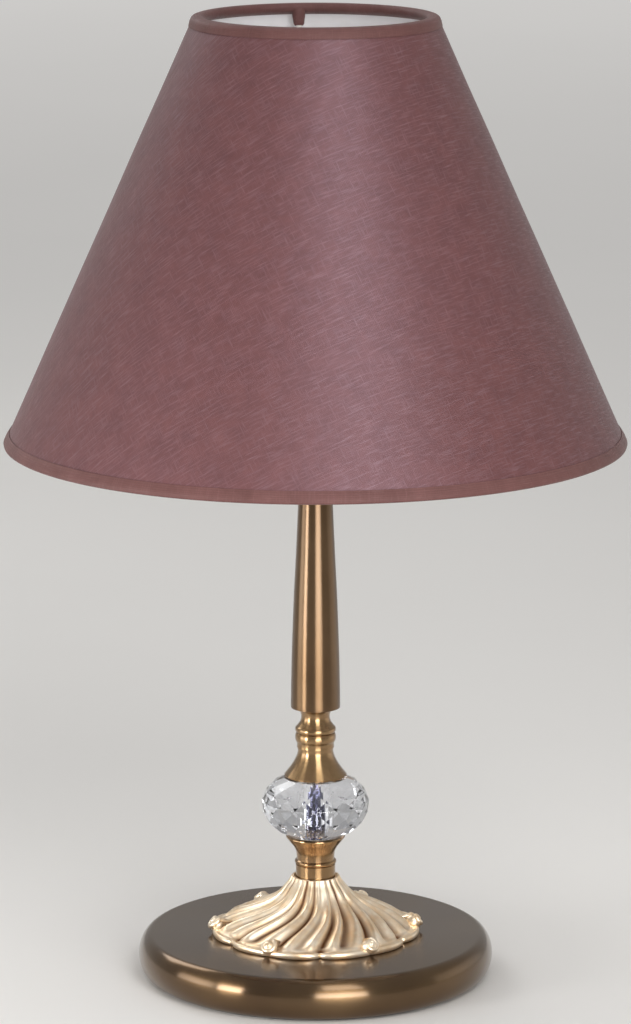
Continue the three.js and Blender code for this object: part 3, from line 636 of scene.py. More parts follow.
def carveLeaves(piece, crown, bottom):
    # moves the turned body's points: grooves square to the crown line, then the swirl and the scallops
    size = rosetteSize
    places = alongCrown(crown)
    patinaAndShade = piece.data.attributes.new("patinaAndShade", "FLOAT", "POINT")
    for point, shadeAndPatina in zip(piece.data.vertices, patinaAndShade.data):
        x, y, height = (value / mm for value in point.co)
        radius = hypot(x, y)
        if radius < size["seatRadius"] + 0.2:
            continue
        angle = atan2(x, -y)
        index = min(range(len(places)), key=lambda number: abs(places[number][0] - radius))
        crownHeight, down, direction = places[index][1:]
        outside = height > crownHeight - 0.6 and radius < crown[-1][0] + 0.1
        swirl = radians(size["swirl"]) * gentleStep(down, 0.12, 1.0)
        newAngle = angle - swirl
        notchAngle = newAngle - radians(size["scallopStart"])
        scallop = abs(sin(size["scallops"] * notchAngle / 2)) ** 0.55
        # every second notch, where a curl sits, is shallow
        notch = size["scallopDepth"] * (0.68 + 0.32 * cos(size["curls"] * notchAngle))
        groove, pit = 0, 0
        if outside:
            rise, depth = leafShape(angle, down)
            # the grooves deepen below the seat and run out before the lip; brown is painted in them and in
            # the pits behind the lip, partly patina and partly painted shade
            reach = 0.28 + 0.72 * gentleStep(down, 0.08, 0.45)
            fade = 1 - 0.8 * gentleStep(down, 0.86, 0.97)
            groove = size["grooveDepth"] * depth * reach * (1 - rise) * fade
            behindLip = exp(-((down - size["lipPlace"]) / size["lipReach"]) ** 2)
            pit = size["pitDepth"] * behindLip * (1 - scallop)
            # painted shade and patina: the brown share for the grooves and the pits behind the lip
            shadeAndPatina.value = min((1 - rise) ** 1.2 * depth * fade + behindLip * (0.9 - 0.6 * scallop), 1.2)
        radius += direction[1] * groove - notch * down**6 * (1 - scallop)
        lift = size["scallopLift"] * down**8 * scallop * min((height - bottom) / 2, 1)
        height += lift - direction[0] * groove - pit
        if outside:
            height = max(height, bottom + 0.5)
        point.co = (radius * sin(newAngle) * mm, -radius * cos(newAngle) * mm, height * mm)


def makeCurl(bottom):
    # one curled leaf end: a tapering stalk comes down the leaf and winds in over a small boss
    size = {"boss": 4.1, "reach": 3.7, "stalk": 1.4, "turns": 1.45, "lean": 48, "rise": 4.2,
            "overBoss": 4.2, "flatness": 0.8, "startAngle": 60, "steps": 36}
    points, sizes = [(1.2, 6.6, -4.6), (2.6, 5.2, -2.8)], [0.3, 0.7]
    for step in range(size["steps"] + 1):
        share = step / size["steps"]
        angle = radians(size["startAngle"]) - 2 * pi * size["turns"] * share
        reach = size["reach"] * (1 - share) ** 0.9 + 0.2
        lift = size["flatness"] * sqrt(size["overBoss"] ** 2 - reach**2)
        points.append((reach * cos(angle), reach * sin(angle), lift))
        sizes.append(1 - 0.3 * share)
    curl = wirePiece("leafCurl", points, size["stalk"], sizes=sizes)
    clearSelection()
    bpy.ops.mesh.primitive_uv_sphere_add(
        segments=24, ring_count=14, radius=size["boss"] * mm, location=(0, 0, 0))
    joinPieces(curl, nameNewest("curlBoss"))
    azimuth = radians(rosetteSize["scallopStart"] + 180 / rosetteSize["curls"])
    place = Vector((0, -rosetteSize["curlCircle"] * mm, (bottom + size["rise"]) * mm))
    for turn, move in (((radians(size["lean"]), 0, 0), place), ((0, 0, azimuth), Vector())):
        curl.rotation_euler, curl.location = turn, move
        bpy.ops.object.transform_apply(location=True, rotation=True, scale=False)
    return copyRound(curl, rosetteSize["curls"])


def makeRosette():
    size = rosetteSize
    bottom, top = heights("rosette")
    crown = crownOutline(bottom, top)
    lip = arcLine(size["rimRadius"] - size["lipRound"], bottom + size["lipRound"] + 0.05,
                  size["lipRound"], size["lipRound"], 120, -80, 14)
    hollow = [(radius, bottom + rise) for radius, rise in size["hollow"]]
    floor = top - size["seatDepth"]
    seat = [(rodHole, floor), (size["seatRadius"], floor), (size["seatRadius"], top)]
    outline = [*crown, *lip, (size["foot"], bottom), *hollow, *seat, crown[0]]
    body = turnedPiece("rosette", outline, size["sides"])
    carveLeaves(body, crown, bottom)
    joinPieces(body, *makeCurl(bottom))
    finishOnStand(body, (materials["castPaleGold"], "cast_gold"), "rosette", sharp=50)


makeRosette()
print("rosette made")


# Turned pieces on the rod, from the collar up to the lampholder

def risingLine(levels, bottom, top, steps):
    # a smooth line through radii at shares of the way up
    return smoothLine([(radius, bottom + (top - bottom) * share) for radius, share in levels], steps)


def makeCollar():
    size = {"radius": 10.3, "waist": 9.8, "cup": 15.4, "cupRim": 0.9, "bead": 0.39, "beadTall": 1.1}
    bottom, top = heights("lower_collar")
    radius, waist, cup = size["radius"], size["waist"], size["cup"]
    bead = bottom + (top - bottom) * size["bead"]
    flare = risingLine([
        (waist, 0.5), (waist * 1.04, 0.63), (waist * 1.2, 0.76), (cup * 0.9, 0.87),
        (cup, 1 - size["cupRim"] / (top - bottom))], bottom, top, 28)
    outside = [
        (radius - 0.3, bottom), (radius, bottom + 0.3), (radius, bead - 1.5), (radius - 0.35, bead - 1.2),
        *arcLine(radius - 0.45, bead, 1, size["beadTall"], -75, 75, 12), (radius - 0.5, bead + 1.3), *flare,
        (cup - 0.1, top - 0.45), (cup - 0.5, top - 0.1), (cup - 1.0, top)]
    collar = turnedPiece("lowerCollar", boredOutline(outside))
    finishOnStand(collar, polishedBronze, "lower_collar")


def makeBell():
    size = {"radius": 16.2, "rim": 0.8, "neck": 9.2}
    bottom, top = heights("bell_cup")
    radius, neck = size["radius"], size["neck"]
    flare = risingLine([
        (radius, size["rim"] / (top - bottom)), (radius * 0.91, 0.17), (radius * 0.79, 0.34),
        (radius * 0.69, 0.51), (neck * 1.07, 0.69), (neck, 0.86), (neck * 1.03, 1)], bottom, top, 32)
    outside = [(radius - 0.9, bottom), (radius - 0.3, bottom + 0.15), *flare]
    bell = turnedPiece("bellCup", boredOutline(outside))
    finishOnStand(bell, polishedBronze, "bell_cup")


def makeNeck():
    size = {"foot": 9.7, "bead": 10.6, "beadRound": 1.1, "lowerBead": 0.25, "lowerTall": 2.5,
            "upperBead": 0.45, "upperTall": 1.6, "waist": 7.4}
    bottom, top = heights("neck_collar")
    tall, waist, beadRound = top - bottom, size["waist"], size["beadRound"]
    lowerBead, upperBead = bottom + tall * size["lowerBead"], bottom + tall * size["upperBead"]
    outside = [
        (size["foot"], bottom), (size["foot"] - 0.1, bottom + 1.6),
        *arcLine(size["bead"] - beadRound, lowerBead, beadRound, size["lowerTall"], -70, 70, 16),
        (size["bead"] - 1.0, upperBead - 1.75),
        *arcLine(size["bead"] - beadRound, upperBead, beadRound, size["upperTall"], -65, 65, 14),
        *risingLine([(size["bead"] * 0.9, size["upperBead"] + 1.9 / tall), (waist * 1.08, 0.65),
                     (waist, 0.78), (waist * 1.1, 0.91), (waist * 1.3, 1)], bottom, top, 24)]
    neck = turnedPiece("neckCollar", boredOutline(outside))
    finishOnStand(neck, polishedBronze, "neck_collar")


def makeStem():
    size = {"bottom": 12.8, "top": 6.6, "wall": 0.8, "capNeck": 7.2, "capRadius": 8.5,
            "capRound": 0.7, "capEdge": 0.2}
    bottom, top = heights("stem_tube")
    taper = risingLine([
        (size["bottom"] + (size["top"] - size["bottom"]) * drawn, rise)
        for rise, drawn in ((0, 0), (0.15, 0.065), (0.345, 0.242), (0.5, 0.445), (0.65, 0.618), (1, 1))],
        bottom, top, 50)
    edge = [(size["bottom"] - 0.4, bottom), (size["bottom"] - 0.1, bottom + 0.12)]
    inside = [(radius - size["wall"], height) for radius, height in reversed(taper)]
    stem = turnedPiece("stemTube", [*edge, *taper[1:], *inside, edge[0]])
    finishOnStand(stem, (metals["satinBronze"], "bronze_satin"), "stem_tube")
    dressNode("stem_plug", metals["satinBronze"])
    capBottom, capTop = heights("stem_cap")
    neck, radius = size["capNeck"], size["capRadius"]
    shoulder = capTop - size["capRound"]
    cap = turnedPiece("stemCap", [
        (rodHole, top), (neck, top), (neck, capBottom), (radius, capBottom), (radius, shoulder),
        *arcLine(radius - size["capRound"], shoulder, size["capRound"], size["capRound"], 15, 90, 5),
        (rodHole, capTop), (rodHole, top)], 96)
    roundEdges(cap, size["capEdge"])
    finishOnStand(cap, polishedBronze, "stem_cap")


def makeRod():
    # one millimetre of thread is turned once and repeated up the rod
    size = {"radius": 5, "root": 4.5, "bore": 3.6, "pitch": 1.0, "crestFrom": 0.4, "crestTo": 0.6,
            "mergeWithin": 0.05}
    bottom, top = heights("threaded_rod")
    rod = turnedPiece("threadedRod", [
        (size["root"], bottom), (size["radius"], bottom + size["crestFrom"]),
        (size["radius"], bottom + size["crestTo"]), (size["root"], bottom + size["pitch"])], 32)
    count = round((top - bottom) / size["pitch"])
    applyModifier(rod, "ARRAY", count=count, use_relative_offset=False, use_constant_offset=True,
                  constant_offset_displace=(0, 0, (top - bottom) / count * mm), use_merge_vertices=True,
                  merge_threshold=size["mergeWithin"] * mm)
    startEditing(rod, "DESELECT")
    bpy.ops.mesh.select_non_manifold()
    bpy.ops.mesh.extrude_region_move()
    scale = size["bore"] / size["root"]
    bpy.ops.transform.resize(value=(scale, scale, 1), center_override=(0, 0, 0))
    bpy.ops.mesh.bridge_edge_loops()
    closeSeams(rod)
    finishOnStand(rod, (metals["rodZincShaded"], "steel_zinc"), "threaded_rod", sharp=40)


def makeCrystal():
    # rings of corners, each turned half a facet against the last, are hulled into flat lozenges
    size = {"radius": 27.8, "lower": 14.8, "upper": 16.4, "facets": 16, "edge": 0.18, "drill": 60,
            "gasket": 13, "gasketEdge": 0.15}
    bottom, top = heights("crystal")
    rings = [(size["lower"], 0), (size["radius"] * 0.76, 0.105), (size["radius"] * 0.92, 0.26),
             (size["radius"] * 0.99, 0.43), (size["radius"], 0.6), (size["radius"] * 0.93, 0.76),
             (size["radius"] * 0.79, 0.905), (size["upper"], 1)]
    loops = []
    for level, (radius, rise) in enumerate(rings):
        clearSelection()
        bpy.ops.mesh.primitive_circle_add(
            vertices=size["facets"], radius=radius * mm, fill_type="NOTHING",
            location=(0, 0, (bottom + (top - bottom) * rise) * mm),
            rotation=(0, 0, pi / size["facets"] * (level % 2)))
        loops.append(nameNewest(f"facetRing{level}"))
        bpy.ops.object.transform_apply(location=True, rotation=True, scale=False)
    crystal = joinPieces(loops[0], *loops[1:])
    crystal.name = crystal.data.name = "cutCrystalBall"
    startEditing(crystal)
    bpy.ops.mesh.convex_hull(join_triangles=False)
    closeSeams(crystal)
    drillHole(crystal, rodHole, size["drill"], (0, 0, (bottom + top) / 2))
    roundEdges(crystal, size["edge"], segments=1, sharp=4)
    finishOnStand(crystal, (materials["cutCrystal"], "crystal_clear"), "crystal", sharp=3)
    for name, node in (("lowerGasket", "crystal_gasket_lower"), ("upperGasket", "crystal_gasket_upper")):
        gasket = turnedPiece(name, ringOutline(rodHole, size["gasket"], *heights(node)), 96)
        roundEdges(gasket, size["gasketEdge"])
        finishOnStand(gasket, (moulded["clearVinyl"], "gasket_clear"), node)


makeCollar()
makeCrystal()
makeBell()
makeNeck()
makeStem()
makeRod()
print("collar, crystal, bell, neck and stem made")


# Lampholder with its rings, and the bulb

def wavyOutline(radius, depth, bottom, top, pitch):
    # the outside of a rolled or moulded thread, one wave to a pitch
    stepsEach = 8
    steps = max(round((top - bottom) / pitch), 1) * stepsEach
    return [(radius - depth * (0.5 + 0.5 * cos(2 * pi * step / stepsEach)),
             bottom + (top - bottom) * step / steps) for step in range(steps + 1)]


def makeLampholder():
    size = {"radius": 14, "wall": 1.5, "capFoot": 10, "capFloor": 3, "capRound": 5, "spigot": 13.6,
            "spigotTall": 1.0, "wireHole": 7, "threadFrom": 14, "threadTo": 2, "threadPitch": 2.0,
            "threadDepth": 0.6, "floor": 4, "sleeve": 7.3, "sleeveWall": 0.6, "sleeveEnd": 7.9,
            "screwPitch": 2.822, "screwDepth": 0.35, "edge": 0.2}
    radius, spigot = size["radius"], size["spigot"]
    inside = radius - size["wall"]
    bottom, top = heights("holder_cap")
    floor, shoulder = bottom + size["capFloor"], bottom + size["capRound"]
    cap = turnedPiece("holderCap", [
        (rodHole, bottom), (size["capFoot"], bottom),
        *arcLine(size["capFoot"], shoulder, radius - size["capFoot"], size["capRound"], -80, 0, 12),
        (radius, top - 1.2), (spigot, top - size["spigotTall"]), (spigot, top), (inside, top),
        (inside, shoulder), (inside - 3, floor), (rodHole, floor), (rodHole, bottom)], 96)
    roundEdges(cap, size["edge"])
    finishOnStand(cap, blackPlastic, "holder_cap")
    bottom, top = heights("holder_body")
    floor, threadBottom = bottom + size["floor"], bottom + size["threadFrom"]
    thread = wavyOutline(radius, size["threadDepth"], threadBottom, top - size["threadTo"],
                         size["threadPitch"])
    body = turnedPiece("holderBody", [
        (size["wireHole"], bottom), (spigot, bottom), (spigot, bottom + size["spigotTall"]),
        (radius, bottom + 1.4), (radius, threadBottom - 1.4), *thread, (radius - 0.6, top - 0.6),
        (radius - 1.1, top), (inside, top), (inside, floor), (size["wireHole"], floor),
        (size["wireHole"], bottom)], 96)
    finishOnStand(body, blackPlastic, "holder_body")
    bottom, top = heights("holder_sleeve")
    wave = wavyOutline(size["sleeve"] + size["sleeveWall"], size["screwDepth"], bottom + 1, top - 2,
                       size["screwPitch"])
    innerWave = [(reach - size["sleeveWall"] + 0.05, height) for reach, height in reversed(wave)]
    sleeve = turnedPiece("holderSleeve", [
        *wave, (size["sleeveEnd"], top), (size["sleeve"] + 0.1, top), *innerWave, (size["sleeve"], bottom),
        (size["sleeveEnd"], bottom), wave[0]], 96)
    finishOnStand(sleeve, (metals["contactBrass"], "contact_brass"), "holder_sleeve")
    dressNode("holder_insert", moulded["whiteUrea"])
    dressNode("holder_contact", metals["contactBrass"])


def makeShadeRing(name, node):
    # a turned ring whose outside is then notched all round for the fingers
    size = {"radius": 18, "inner": 14.3, "chamfer": 0.8, "sides": 144, "ribEvery": 4, "ribSides": 2,
            "ribDepth": 0.5}
    bottom, top = heights(node)
    inner, radius, chamfer = size["inner"], size["radius"], size["chamfer"]
    ring = turnedPiece(name, [
        (inner, bottom), (radius - chamfer, bottom), (radius, bottom + chamfer), (radius, top - chamfer),
        (radius - chamfer, top), (inner, top), (inner, bottom)], size["sides"])
    startEditing(ring, "DESELECT")
    bpy.ops.object.mode_set(mode="OBJECT")
    for face in ring.data.polygons:
        place = face.center
        share = (degrees(atan2(place.y, place.x)) % 360) / 360 * size["sides"]
        outer = abs(face.normal.z) < 0.1 and hypot(place.x, place.y) > (radius - 0.1) * mm
        face.select = outer and int(share) % size["ribEvery"] < size["ribSides"]
    bpy.ops.object.mode_set(mode="EDIT")
    bpy.ops.mesh.select_mode(type="FACE")
    bpy.ops.mesh.extrude_region_move()
    scale = (radius - size["ribDepth"]) / radius
    bpy.ops.transform.resize(value=(scale, scale, 1), center_override=(0, 0, (bottom + top) / 2 * mm))
    bpy.ops.mesh.select_mode(type="VERT")
    closeSeams(ring)
    finishOnStand(ring, blackPlastic, node)


def makeBulb():
    size = {"radius": 22.5, "capRadius": 6.95, "capRim": 8.2, "threadDepth": 0.7, "screwPitch": 2.822,
            "tip": 2.4, "tipRound": 0.8, "joinAngle": 45}
    rim, capRadius, tipRadius = size["capRim"], size["capRadius"], size["tip"]
    tipBottom, capBottom = heights("bulb_tip")
    tip = turnedPiece("bulbTip", [
        (0, tipBottom), *arcLine(0, tipBottom + size["tipRound"], 2.0, size["tipRound"], -80, -15, 6),
        (tipRadius, tipBottom + 1.2), (tipRadius, capBottom), (0, capBottom)], 48)
    finishPiece(tip, metals["zincSteel"], "bulb_lift", "steel_zinc", "bulb_tip")
    glassBottom, bulbTop = heights("bulb_glass")
    thread = wavyOutline(capRadius, size["threadDepth"], capBottom + 3.4, glassBottom - 6, size["screwPitch"])
    cap = turnedPiece("bulbCap", [
        (0, capBottom), (tipRadius + 0.8, capBottom), (capRadius - 1.6, capBottom + 2.2), *thread,
        (capRadius, glassBottom - 5.6), (capRadius + 0.2, glassBottom - 4.4), (rim - 0.2, glassBottom - 2.2),
        (rim, glassBottom - 1.6), (rim, glassBottom), (0, glassBottom)], 96)
    finishPiece(cap, metals["zincSteel"], "bulb", "steel_zinc", "bulb_cap")
    centre, join = bulbTop - size["radius"], radians(size["joinAngle"])
    neck = smoothLine([
        (rim - 0.6, glassBottom), (rim + 1, glassBottom + 4.5),
        (size["radius"] * cos(join), centre - size["radius"] * sin(join))], 14)
    globe = arcLine(0, centre, size["radius"], size["radius"], -42, 88, 40)
    glass = turnedPiece("bulbGlass", [(0, glassBottom), *neck, *globe, (0, bulbTop)], 96)
    finishPiece(glass, materials["opalGlass"], "bulb", "bulb_opal", "bulb_glass", sharp=50)


makeLampholder()
makeShadeRing("lowerShadeRing", "shade_ring_lower")
makeShadeRing("upperShadeRing", "shade_ring_upper")
makeBulb()
print("lampholder and bulb made")


# Shade: every layer is placed by its height and its depth inside the outer face

shadeSize = {
    "topRadius": 62.15, "bottomRadius": 160, "tape": 0.6, "gap": 0.3, "fabric": 0.8, "lining": 0.6,
    "wire": 1.5, "sides": 384, "spokeAngle": 98.6,
}
shadeLow, shadeHigh = heights("bottom_trim")[0], heights("top_trim")[1]
shadeSlope = (shadeSize["bottomRadius"] - shadeSize["topRadius"]) / (shadeHigh - shadeLow)
slantStretch = hypot(1, shadeSlope)
fabricDepth = shadeSize["tape"] + shadeSize["gap"]
liningDepth = fabricDepth + shadeSize["fabric"] + shadeSize["gap"]
wireDepth = liningDepth + shadeSize["lining"] + shadeSize["gap"] + shadeSize["wire"]
# each end's height and which way the shade lies from it
shadeEnds = {"top": (shadeHigh, -1), "bottom": (shadeLow, 1)}


def slantPoint(height, depth):
    return (shadeSize["topRadius"] + shadeSlope * (shadeHigh - height) - depth * slantStretch, height)


def coneOutline(depth, thickness, rows):
    # both faces of one layer between the tapes, with rows of points so that it can be bent a little
    low, high = shadeLow + fabricDepth, shadeHigh - fabricDepth
    rise = [low + (high - low) * row / rows for row in range(rows + 1)]
    face = [slantPoint(height, depth) for height in rise]
    back = [slantPoint(height, depth + thickness) for height in reversed(rise)]
    return [*face, *back, face[0]]


def bandOutline(path, thickness):
    # a closed section of that thickness round a path of radius and height
    face, back = [
        [(radius + rise * half, height - reach * half) for (radius, height), (reach, rise) in alongLine(path)]
        for half in (thickness / 2, -thickness / 2)]
    return [*face, *reversed(back), face[0]]


def cornersRound(piece):
    # every face corner with its point and its angle from the front, which a face over the back doesn't wrap
    for face in piece.data.polygons:
        middle = atan2(face.center.x, -face.center.y)
        for corner in face.loop_indices:
            point = piece.data.vertices[piece.data.loops[corner].vertex_index].co
            angle = atan2(point.x, -point.y)
            if abs(angle - middle) > pi:
                angle -= copysign(2 * pi, angle - middle)
            yield corner, point, angle


def flattenCone(piece):
    # the layer's own map is its flat cut in metres, a ring sector whose two ends meet at the back
    coneSine = shadeSlope / slantStretch
    cut = piece.data.uv_layers.new(name="flatCut")
    for corner, point, angle in cornersRound(piece):
        reach = hypot(point.x, point.y) / coneSine
        cut.data[corner].uv = (reach * sin(angle * coneSine), -reach * cos(angle * coneSine))


def unrollTape(piece, radius):
    # the tape's own map runs along its length and across its width, in metres
    run = piece.data.uv_layers.new(name="flatCut")
    for corner, point, angle in cornersRound(piece):
        run.data[corner].uv = (angle * radius * mm, point.z + 0.5 * hypot(point.x, point.y))


def lapTape(piece, angle, length, rise):
    # the tape's end lies over its start and stands proud there, with a cut edge at that angle
    for point in piece.data.vertices:
        away = degrees(atan2(point.co.x, -point.co.y)) - angle
        reach = hypot(point.co.x, point.co.y)
        share = 1 - gentleStep(-away, length * 0.6, length) if away < 0 else 0
        grown = 1 + share * rise * mm / reach
        point.co = (point.co.x * grown, point.co.y * grown, point.co.z)


def makeCover():
    size = {"wave": 0.22, "wavesPerMetre": 22}
    cover = turnedPiece("shadeCover", coneOutline(fabricDepth, shadeSize["fabric"], 24), shadeSize["sides"])
    for point in cover.data.vertices:
        # laminated cloth is never quite even: it waves by a tenth of a millimetre or two
        wave = noise.noise(point.co * size["wavesPerMetre"]) * size["wave"] * mm
        grown = 1 + wave / hypot(point.co.x, point.co.y)
        point.co = (point.co.x * grown, point.co.y * grown, point.co.z)
    flattenCone(cover)
    return finishPiece(cover, shadeFabric, "shade", "fabric_cocoa", "shade_cover")


def makeSeam():
    # at the back the cloth's end lies over its start in a straight strip
    size = {"width": 10, "fromBottom": 6.5, "fromTop": 5.5, "depth": 0.45, "thickness": 0.45, "edge": 0.12}
    clearSelection()
    bpy.ops.mesh.primitive_grid_add(x_subdivisions=6, y_subdivisions=60, size=1, location=(0, 0, 0))
    seam = nameNewest("shadeSeam")
    low, high = shadeLow + size["fromBottom"], shadeHigh - size["fromTop"]
    for point in seam.data.vertices:
        radius, height = slantPoint(low + (high - low) * (point.co.y + 0.5), size["depth"])
        angle = point.co.x * size["width"] / radius
        point.co = (-radius * sin(angle) * mm, radius * cos(angle) * mm, height * mm)
    applyModifier(seam, "SOLIDIFY", thickness=size["thickness"] * mm, offset=-1)
    roundEdges(seam, size["edge"], sharp=60)
    closeSeams(seam)
    flattenCone(seam)
    return finishPiece(seam, shadeFabric, "shade", "fabric_cocoa")


def makeLining():
    lining = turnedPiece("shadeLining", coneOutline(liningDepth, shadeSize["lining"], 12), 256)
    finishPiece(lining, moulded["whiteStyrene"], "shade", "lining_white", "shade_lining")


def onCircle(radius, angle, height):
    return (radius * cos(angle), radius * sin(angle), height)


def hoopPlace(end):
    # radius and height of the wire hoop at that end of the shade
    edge, inward = shadeEnds[end]
    return slantPoint(edge + inward * (fabricDepth + shadeSize["wire"]), wireDepth)


# distances from the shade's end with depths inside its outer face, where the tape turns over the edge, then
# its way off the hoop and on to the lining, and the lap's azimuth, length and rise
tapes = {
    "top": {"width": 6, "overEdge": [(3, 0.34), (1.4, 0.32), (0.75, 0.75), (0.4, 1.6), (0.3, 2.8)],
            "roundHoop": 225, "offHoop": (0.5, 2.5), "onLining": [(3.3, 0.55)], "lap": (-2.4, 8, 0.22)},
    "bottom": {"width": 7, "overEdge": [(3.6, 0.34), (1.5, 0.34), (0.8, 0.8), (0.4, 1.7), (0.3, 2.8)],
               "roundHoop": 215, "offHoop": (-0.9, 2.7), "onLining": [(3.8, 0.55), (5.4, 0.35)],
               "lap": (176, 3.2, 0.2)},
}


def makeSpokeWraps():
    # the top tape also winds down each of the frame's three spokes
    size = {"radius": 3.5, "out": 0.2, "inStep": 0.22, "down": 0.6, "downStep": 1.05,
            "taper": [1.0, 1.02, 1.0, 0.97, 0.93, 0.88, 0.84, 0.8, 0.64]}
    hoop, hoopHeight = hoopPlace("top")
    points = [onCircle(hoop + size["out"] - size["inStep"] * step, radians(shadeSize["spokeAngle"]),
                       hoopHeight - size["down"] - size["downStep"] * step)
              for step in range(len(size["taper"]))]
    return copyRound(wirePiece("spokeWrap", points, size["radius"], sizes=size["taper"], roundness=6), 3)


def makeTape(end):
    # each tape comes up the outside, over the edge, round the wire hoop and back on to the lining
    size, (edge, inward), (hoop, hoopHeight) = tapes[end], shadeEnds[end], hoopPlace(end)
    roll = shadeSize["wire"] + shadeSize["gap"] + shadeSize["tape"] / 2
    start = size["width"] / slantStretch
    liningFace = liningDepth + shadeSize["lining"]
    # the cut edge is pressed into the cloth over its first millimetre
    outside = [(start, 0.86), (start - 1.2, 0.6), *size["overEdge"]]
    path = [*[slantPoint(edge + inward * away, depth) for away, depth in outside],
            *arcLine(hoop, hoopHeight, roll, roll, -inward * 90, -inward * size["roundHoop"], 10),
            (hoop + size["offHoop"][0], hoopHeight + inward * size["offHoop"][1]),
            *[slantPoint(hoopHeight + inward * away, liningFace + depth) for away, depth in size["onLining"]]]
    tape = turnedPiece(end + "Tape", bandOutline(path, shadeSize["tape"]), 480)
    lapTape(tape, *size["lap"])
    if end == "top":
        joinPieces(tape, *makeSpokeWraps())
    unrollTape(tape, shadeSize[end + "Radius"])
    return finishPiece(tape, bindingTape, "shade", "tape_cocoa", end + "_trim", sharp=50)


def makeHoop(name, end, sides):
    hoop, height = hoopPlace(end)
    points = [onCircle(hoop, 2 * pi * step / sides, height) for step in range(sides)]
    return wirePiece(name, points, shadeSize["wire"], closed=True)


def makeWireFrame():
    size = {"fitterRadius": 20.5, "fitterHole": 14.5, "fitterLow": 0.6, "fitterHigh": 2.4, "fitterEdge": 0.35,
            "elbow": 27, "elbowReach": 5, "elbowSteps": 12, "spokeEnd": 1.05}
    hoop, hoopHeight = hoopPlace("top")
    frameHoop = makeHoop("shadeFrame", "top", 120)
    frameLow = heights("shade_frame")[0]
    low, high = frameLow + size["fitterLow"], frameLow + size["fitterHigh"]
    fitter = turnedPiece("fitterRing", ringOutline(size["fitterHole"], size["fitterRadius"], low, high), 96)
    roundEdges(fitter, size["fitterEdge"], segments=3)
    level, elbow, reach = (low + high) / 2, size["elbow"], size["elbowReach"]
    bend = [(size["fitterRadius"] - 2.2, level), (size["fitterRadius"], level), (elbow - reach, level)]
    for step in range(1, size["elbowSteps"] + 1):
        share = step / size["elbowSteps"]
        radius = ((1 - share) ** 2 * (elbow - reach) + 2 * share * (1 - share) * elbow
                  + share**2 * (elbow + size["spokeEnd"]))
        bend.append((radius, level + reach * share**2))
    bend.append((hoop, hoopHeight))
    points = [onCircle(radius, radians(shadeSize["spokeAngle"]), height) for radius, height in bend]
    joinPieces(frameHoop, fitter, *copyRound(wirePiece("spoke", points, shadeSize["wire"], roundness=4), 3))
    finishPiece(frameHoop, moulded["whitePowderCoat"], "shade", "wire_white", "shade_frame")
    finishPiece(makeHoop("bottomWire", "bottom", 180), moulded["whitePowderCoat"], "shade", "wire_white",
                "bottom_wire")


shadeCover = makeCover()
shadeSeam = makeSeam()
makeLining()
topTape, bottomTape = makeTape("top"), makeTape("bottom")
makeWireFrame()
print("shade made")


# Studio: pale floor, even sky, low softboxes left and in front and a high one for the shade's sheen, like the
# photo's, two fill panels for the stem's edges, and soft ones behind and overhead

def makeFloor():
    look = {"radius": 30, "dark": "#eae8e4", "light": "#efede9", "patchSize": 400, "farGlow": "#f4f3f1",
            "glowFrom": 0.5, "glowTo": 5.0, "glow": 0.26}
    clearSelection()
    bpy.ops.mesh.primitive_circle_add(
        vertices=96, radius=look["radius"], fill_type="NGON", location=(0, 0, 0))
    floor = nameNewest("paleFloor")
    material, tree, shader = startMaterial("mattWhitewash", Roughness=0.85, Emission_Color=look["farGlow"])
    place = addNode(tree, "TexCoord", output="Object")
    tone = addNode(tree, "TexNoise", {"Vector": place, "Scale": perMetre(look["patchSize"]), "Detail": 3.0})
    colour = addNode(tree, "Mix", {0: tone, 6: look["dark"], 7: look["light"]}, 2, data_type="RGBA")
    # the far floor is only seen paler, directly and in gloss and glass, and lights nothing
    seen = addNode(tree, "LightPath", output="Is Camera Ray")
    for kind in ("Is Glossy Ray", "Is Transmission Ray"):
        ray = addNode(tree, "LightPath", output=kind)
        seen = addNode(tree, "Math", {0: seen, 1: ray}, operation="MAXIMUM")
    reach = addNode(tree, "VectorMath", {0: place}, "Value", operation="LENGTH")
    far = addNode(tree, "MapRange", {0: reach, 1: look["glowFrom"], 2: look["glowTo"], 4: look["glow"]})
    paler = addNode(tree, "Math", {0: seen, 1: far}, operation="MULTIPLY")
    fillSockets(tree, shader, dict(Base_Color=colour, Emission_Strength=paler))
    floor.data.materials.append(material)


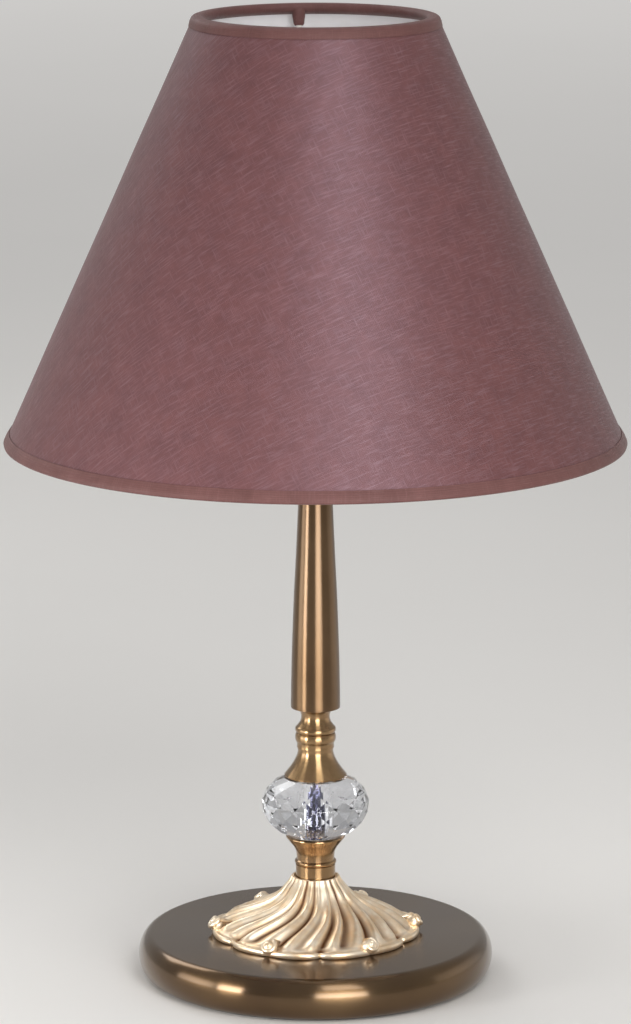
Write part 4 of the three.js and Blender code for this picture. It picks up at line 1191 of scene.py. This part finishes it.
def makeSky():
    look = {"low": "#cfcdca", "high": "#dcdcde", "highFrom": 0.9, "strength": 0.62}
    world = bpy.data.worlds.new("studioSky")
    bpy.context.scene.world = world
    world.use_nodes = True
    tree = world.node_tree
    height = addNode(tree, "SeparateXYZ", {0: addNode(tree, "TexCoord", output="Generated")}, "Z")
    colour = toneBetween(tree, height, 0.0, look["highFrom"], look["low"], look["high"])
    fillSockets(tree, tree.nodes["Background"].inputs, dict(Color=colour, Strength=look["strength"]))


def addSoftbox(name, azimuth, distance, height, width, tall, glow, tilt=0, grid=180):
    # azimuth is from the front towards the right, and glow is the box's own brightness straight ahead.
    # A grid narrower than 180 degrees keeps the light off the floor at the box's foot.
    angle, half = radians(azimuth), radians(grid) / 2
    bpy.ops.object.light_add(type="AREA", location=(distance * sin(angle), -distance * cos(angle), height))
    lamp = bpy.context.object
    lamp.name = lamp.data.name = name
    lamp.data.shape = "RECTANGLE"
    lamp.data.size, lamp.data.size_y = width, tall
    lamp.data.spread = 2 * half
    gathered = tan(half) / (tan(half) - half) if grid < 180 else 1
    lamp.data.energy = glow * pi * width * tall / gathered
    lamp.rotation_euler = (radians(90 - tilt), 0, angle)
    lamp.visible_camera = False


def makeCamera():
    size = {"back": 2.4866, "height": 0.7617, "pitch": 78.27, "sensor": 36, "lens": 174.1}
    bpy.ops.object.camera_add(location=(0, -size["back"], size["height"]),
                              rotation=(radians(size["pitch"]), 0, 0))
    camera = bpy.context.object
    camera.name = "photoCamera"
    camera.data.sensor_width = size["sensor"]
    camera.data.lens = size["lens"]
    bpy.context.scene.camera = camera


makeFloor()
makeSky()
# azimuth in degrees, then distance, height, width and tallness in metres, and glow
addSoftbox("leftSoftbox", -54, 0.9, 0.18, 0.26, 0.3, 21.0, grid=64)
addSoftbox("frontSoftbox", 16, 0.95, 0.19, 0.54, 0.32, 16.0, grid=64)
addSoftbox("upperSoftbox", 19, 0.95, 1.16, 0.46, 1.1, 5.8, grid=150)
addSoftbox("leftPanel", -80, 0.8, 0.16, 0.42, 0.26, 5.5, grid=64)
addSoftbox("rightPanel", 104, 0.5, 0.13, 0.5, 0.2, 0.8, grid=80)
addSoftbox("backSoftbox", 222, 1.5, 1.35, 0.8, 0.8, 3.0, tilt=34)
addSoftbox("topSoftbox", 0, 0.01, 1.9, 1.0, 1.0, 1.4, tilt=90)
makeCamera()
bpy.context.scene.view_settings.view_transform = "Standard"

print("scene ready")
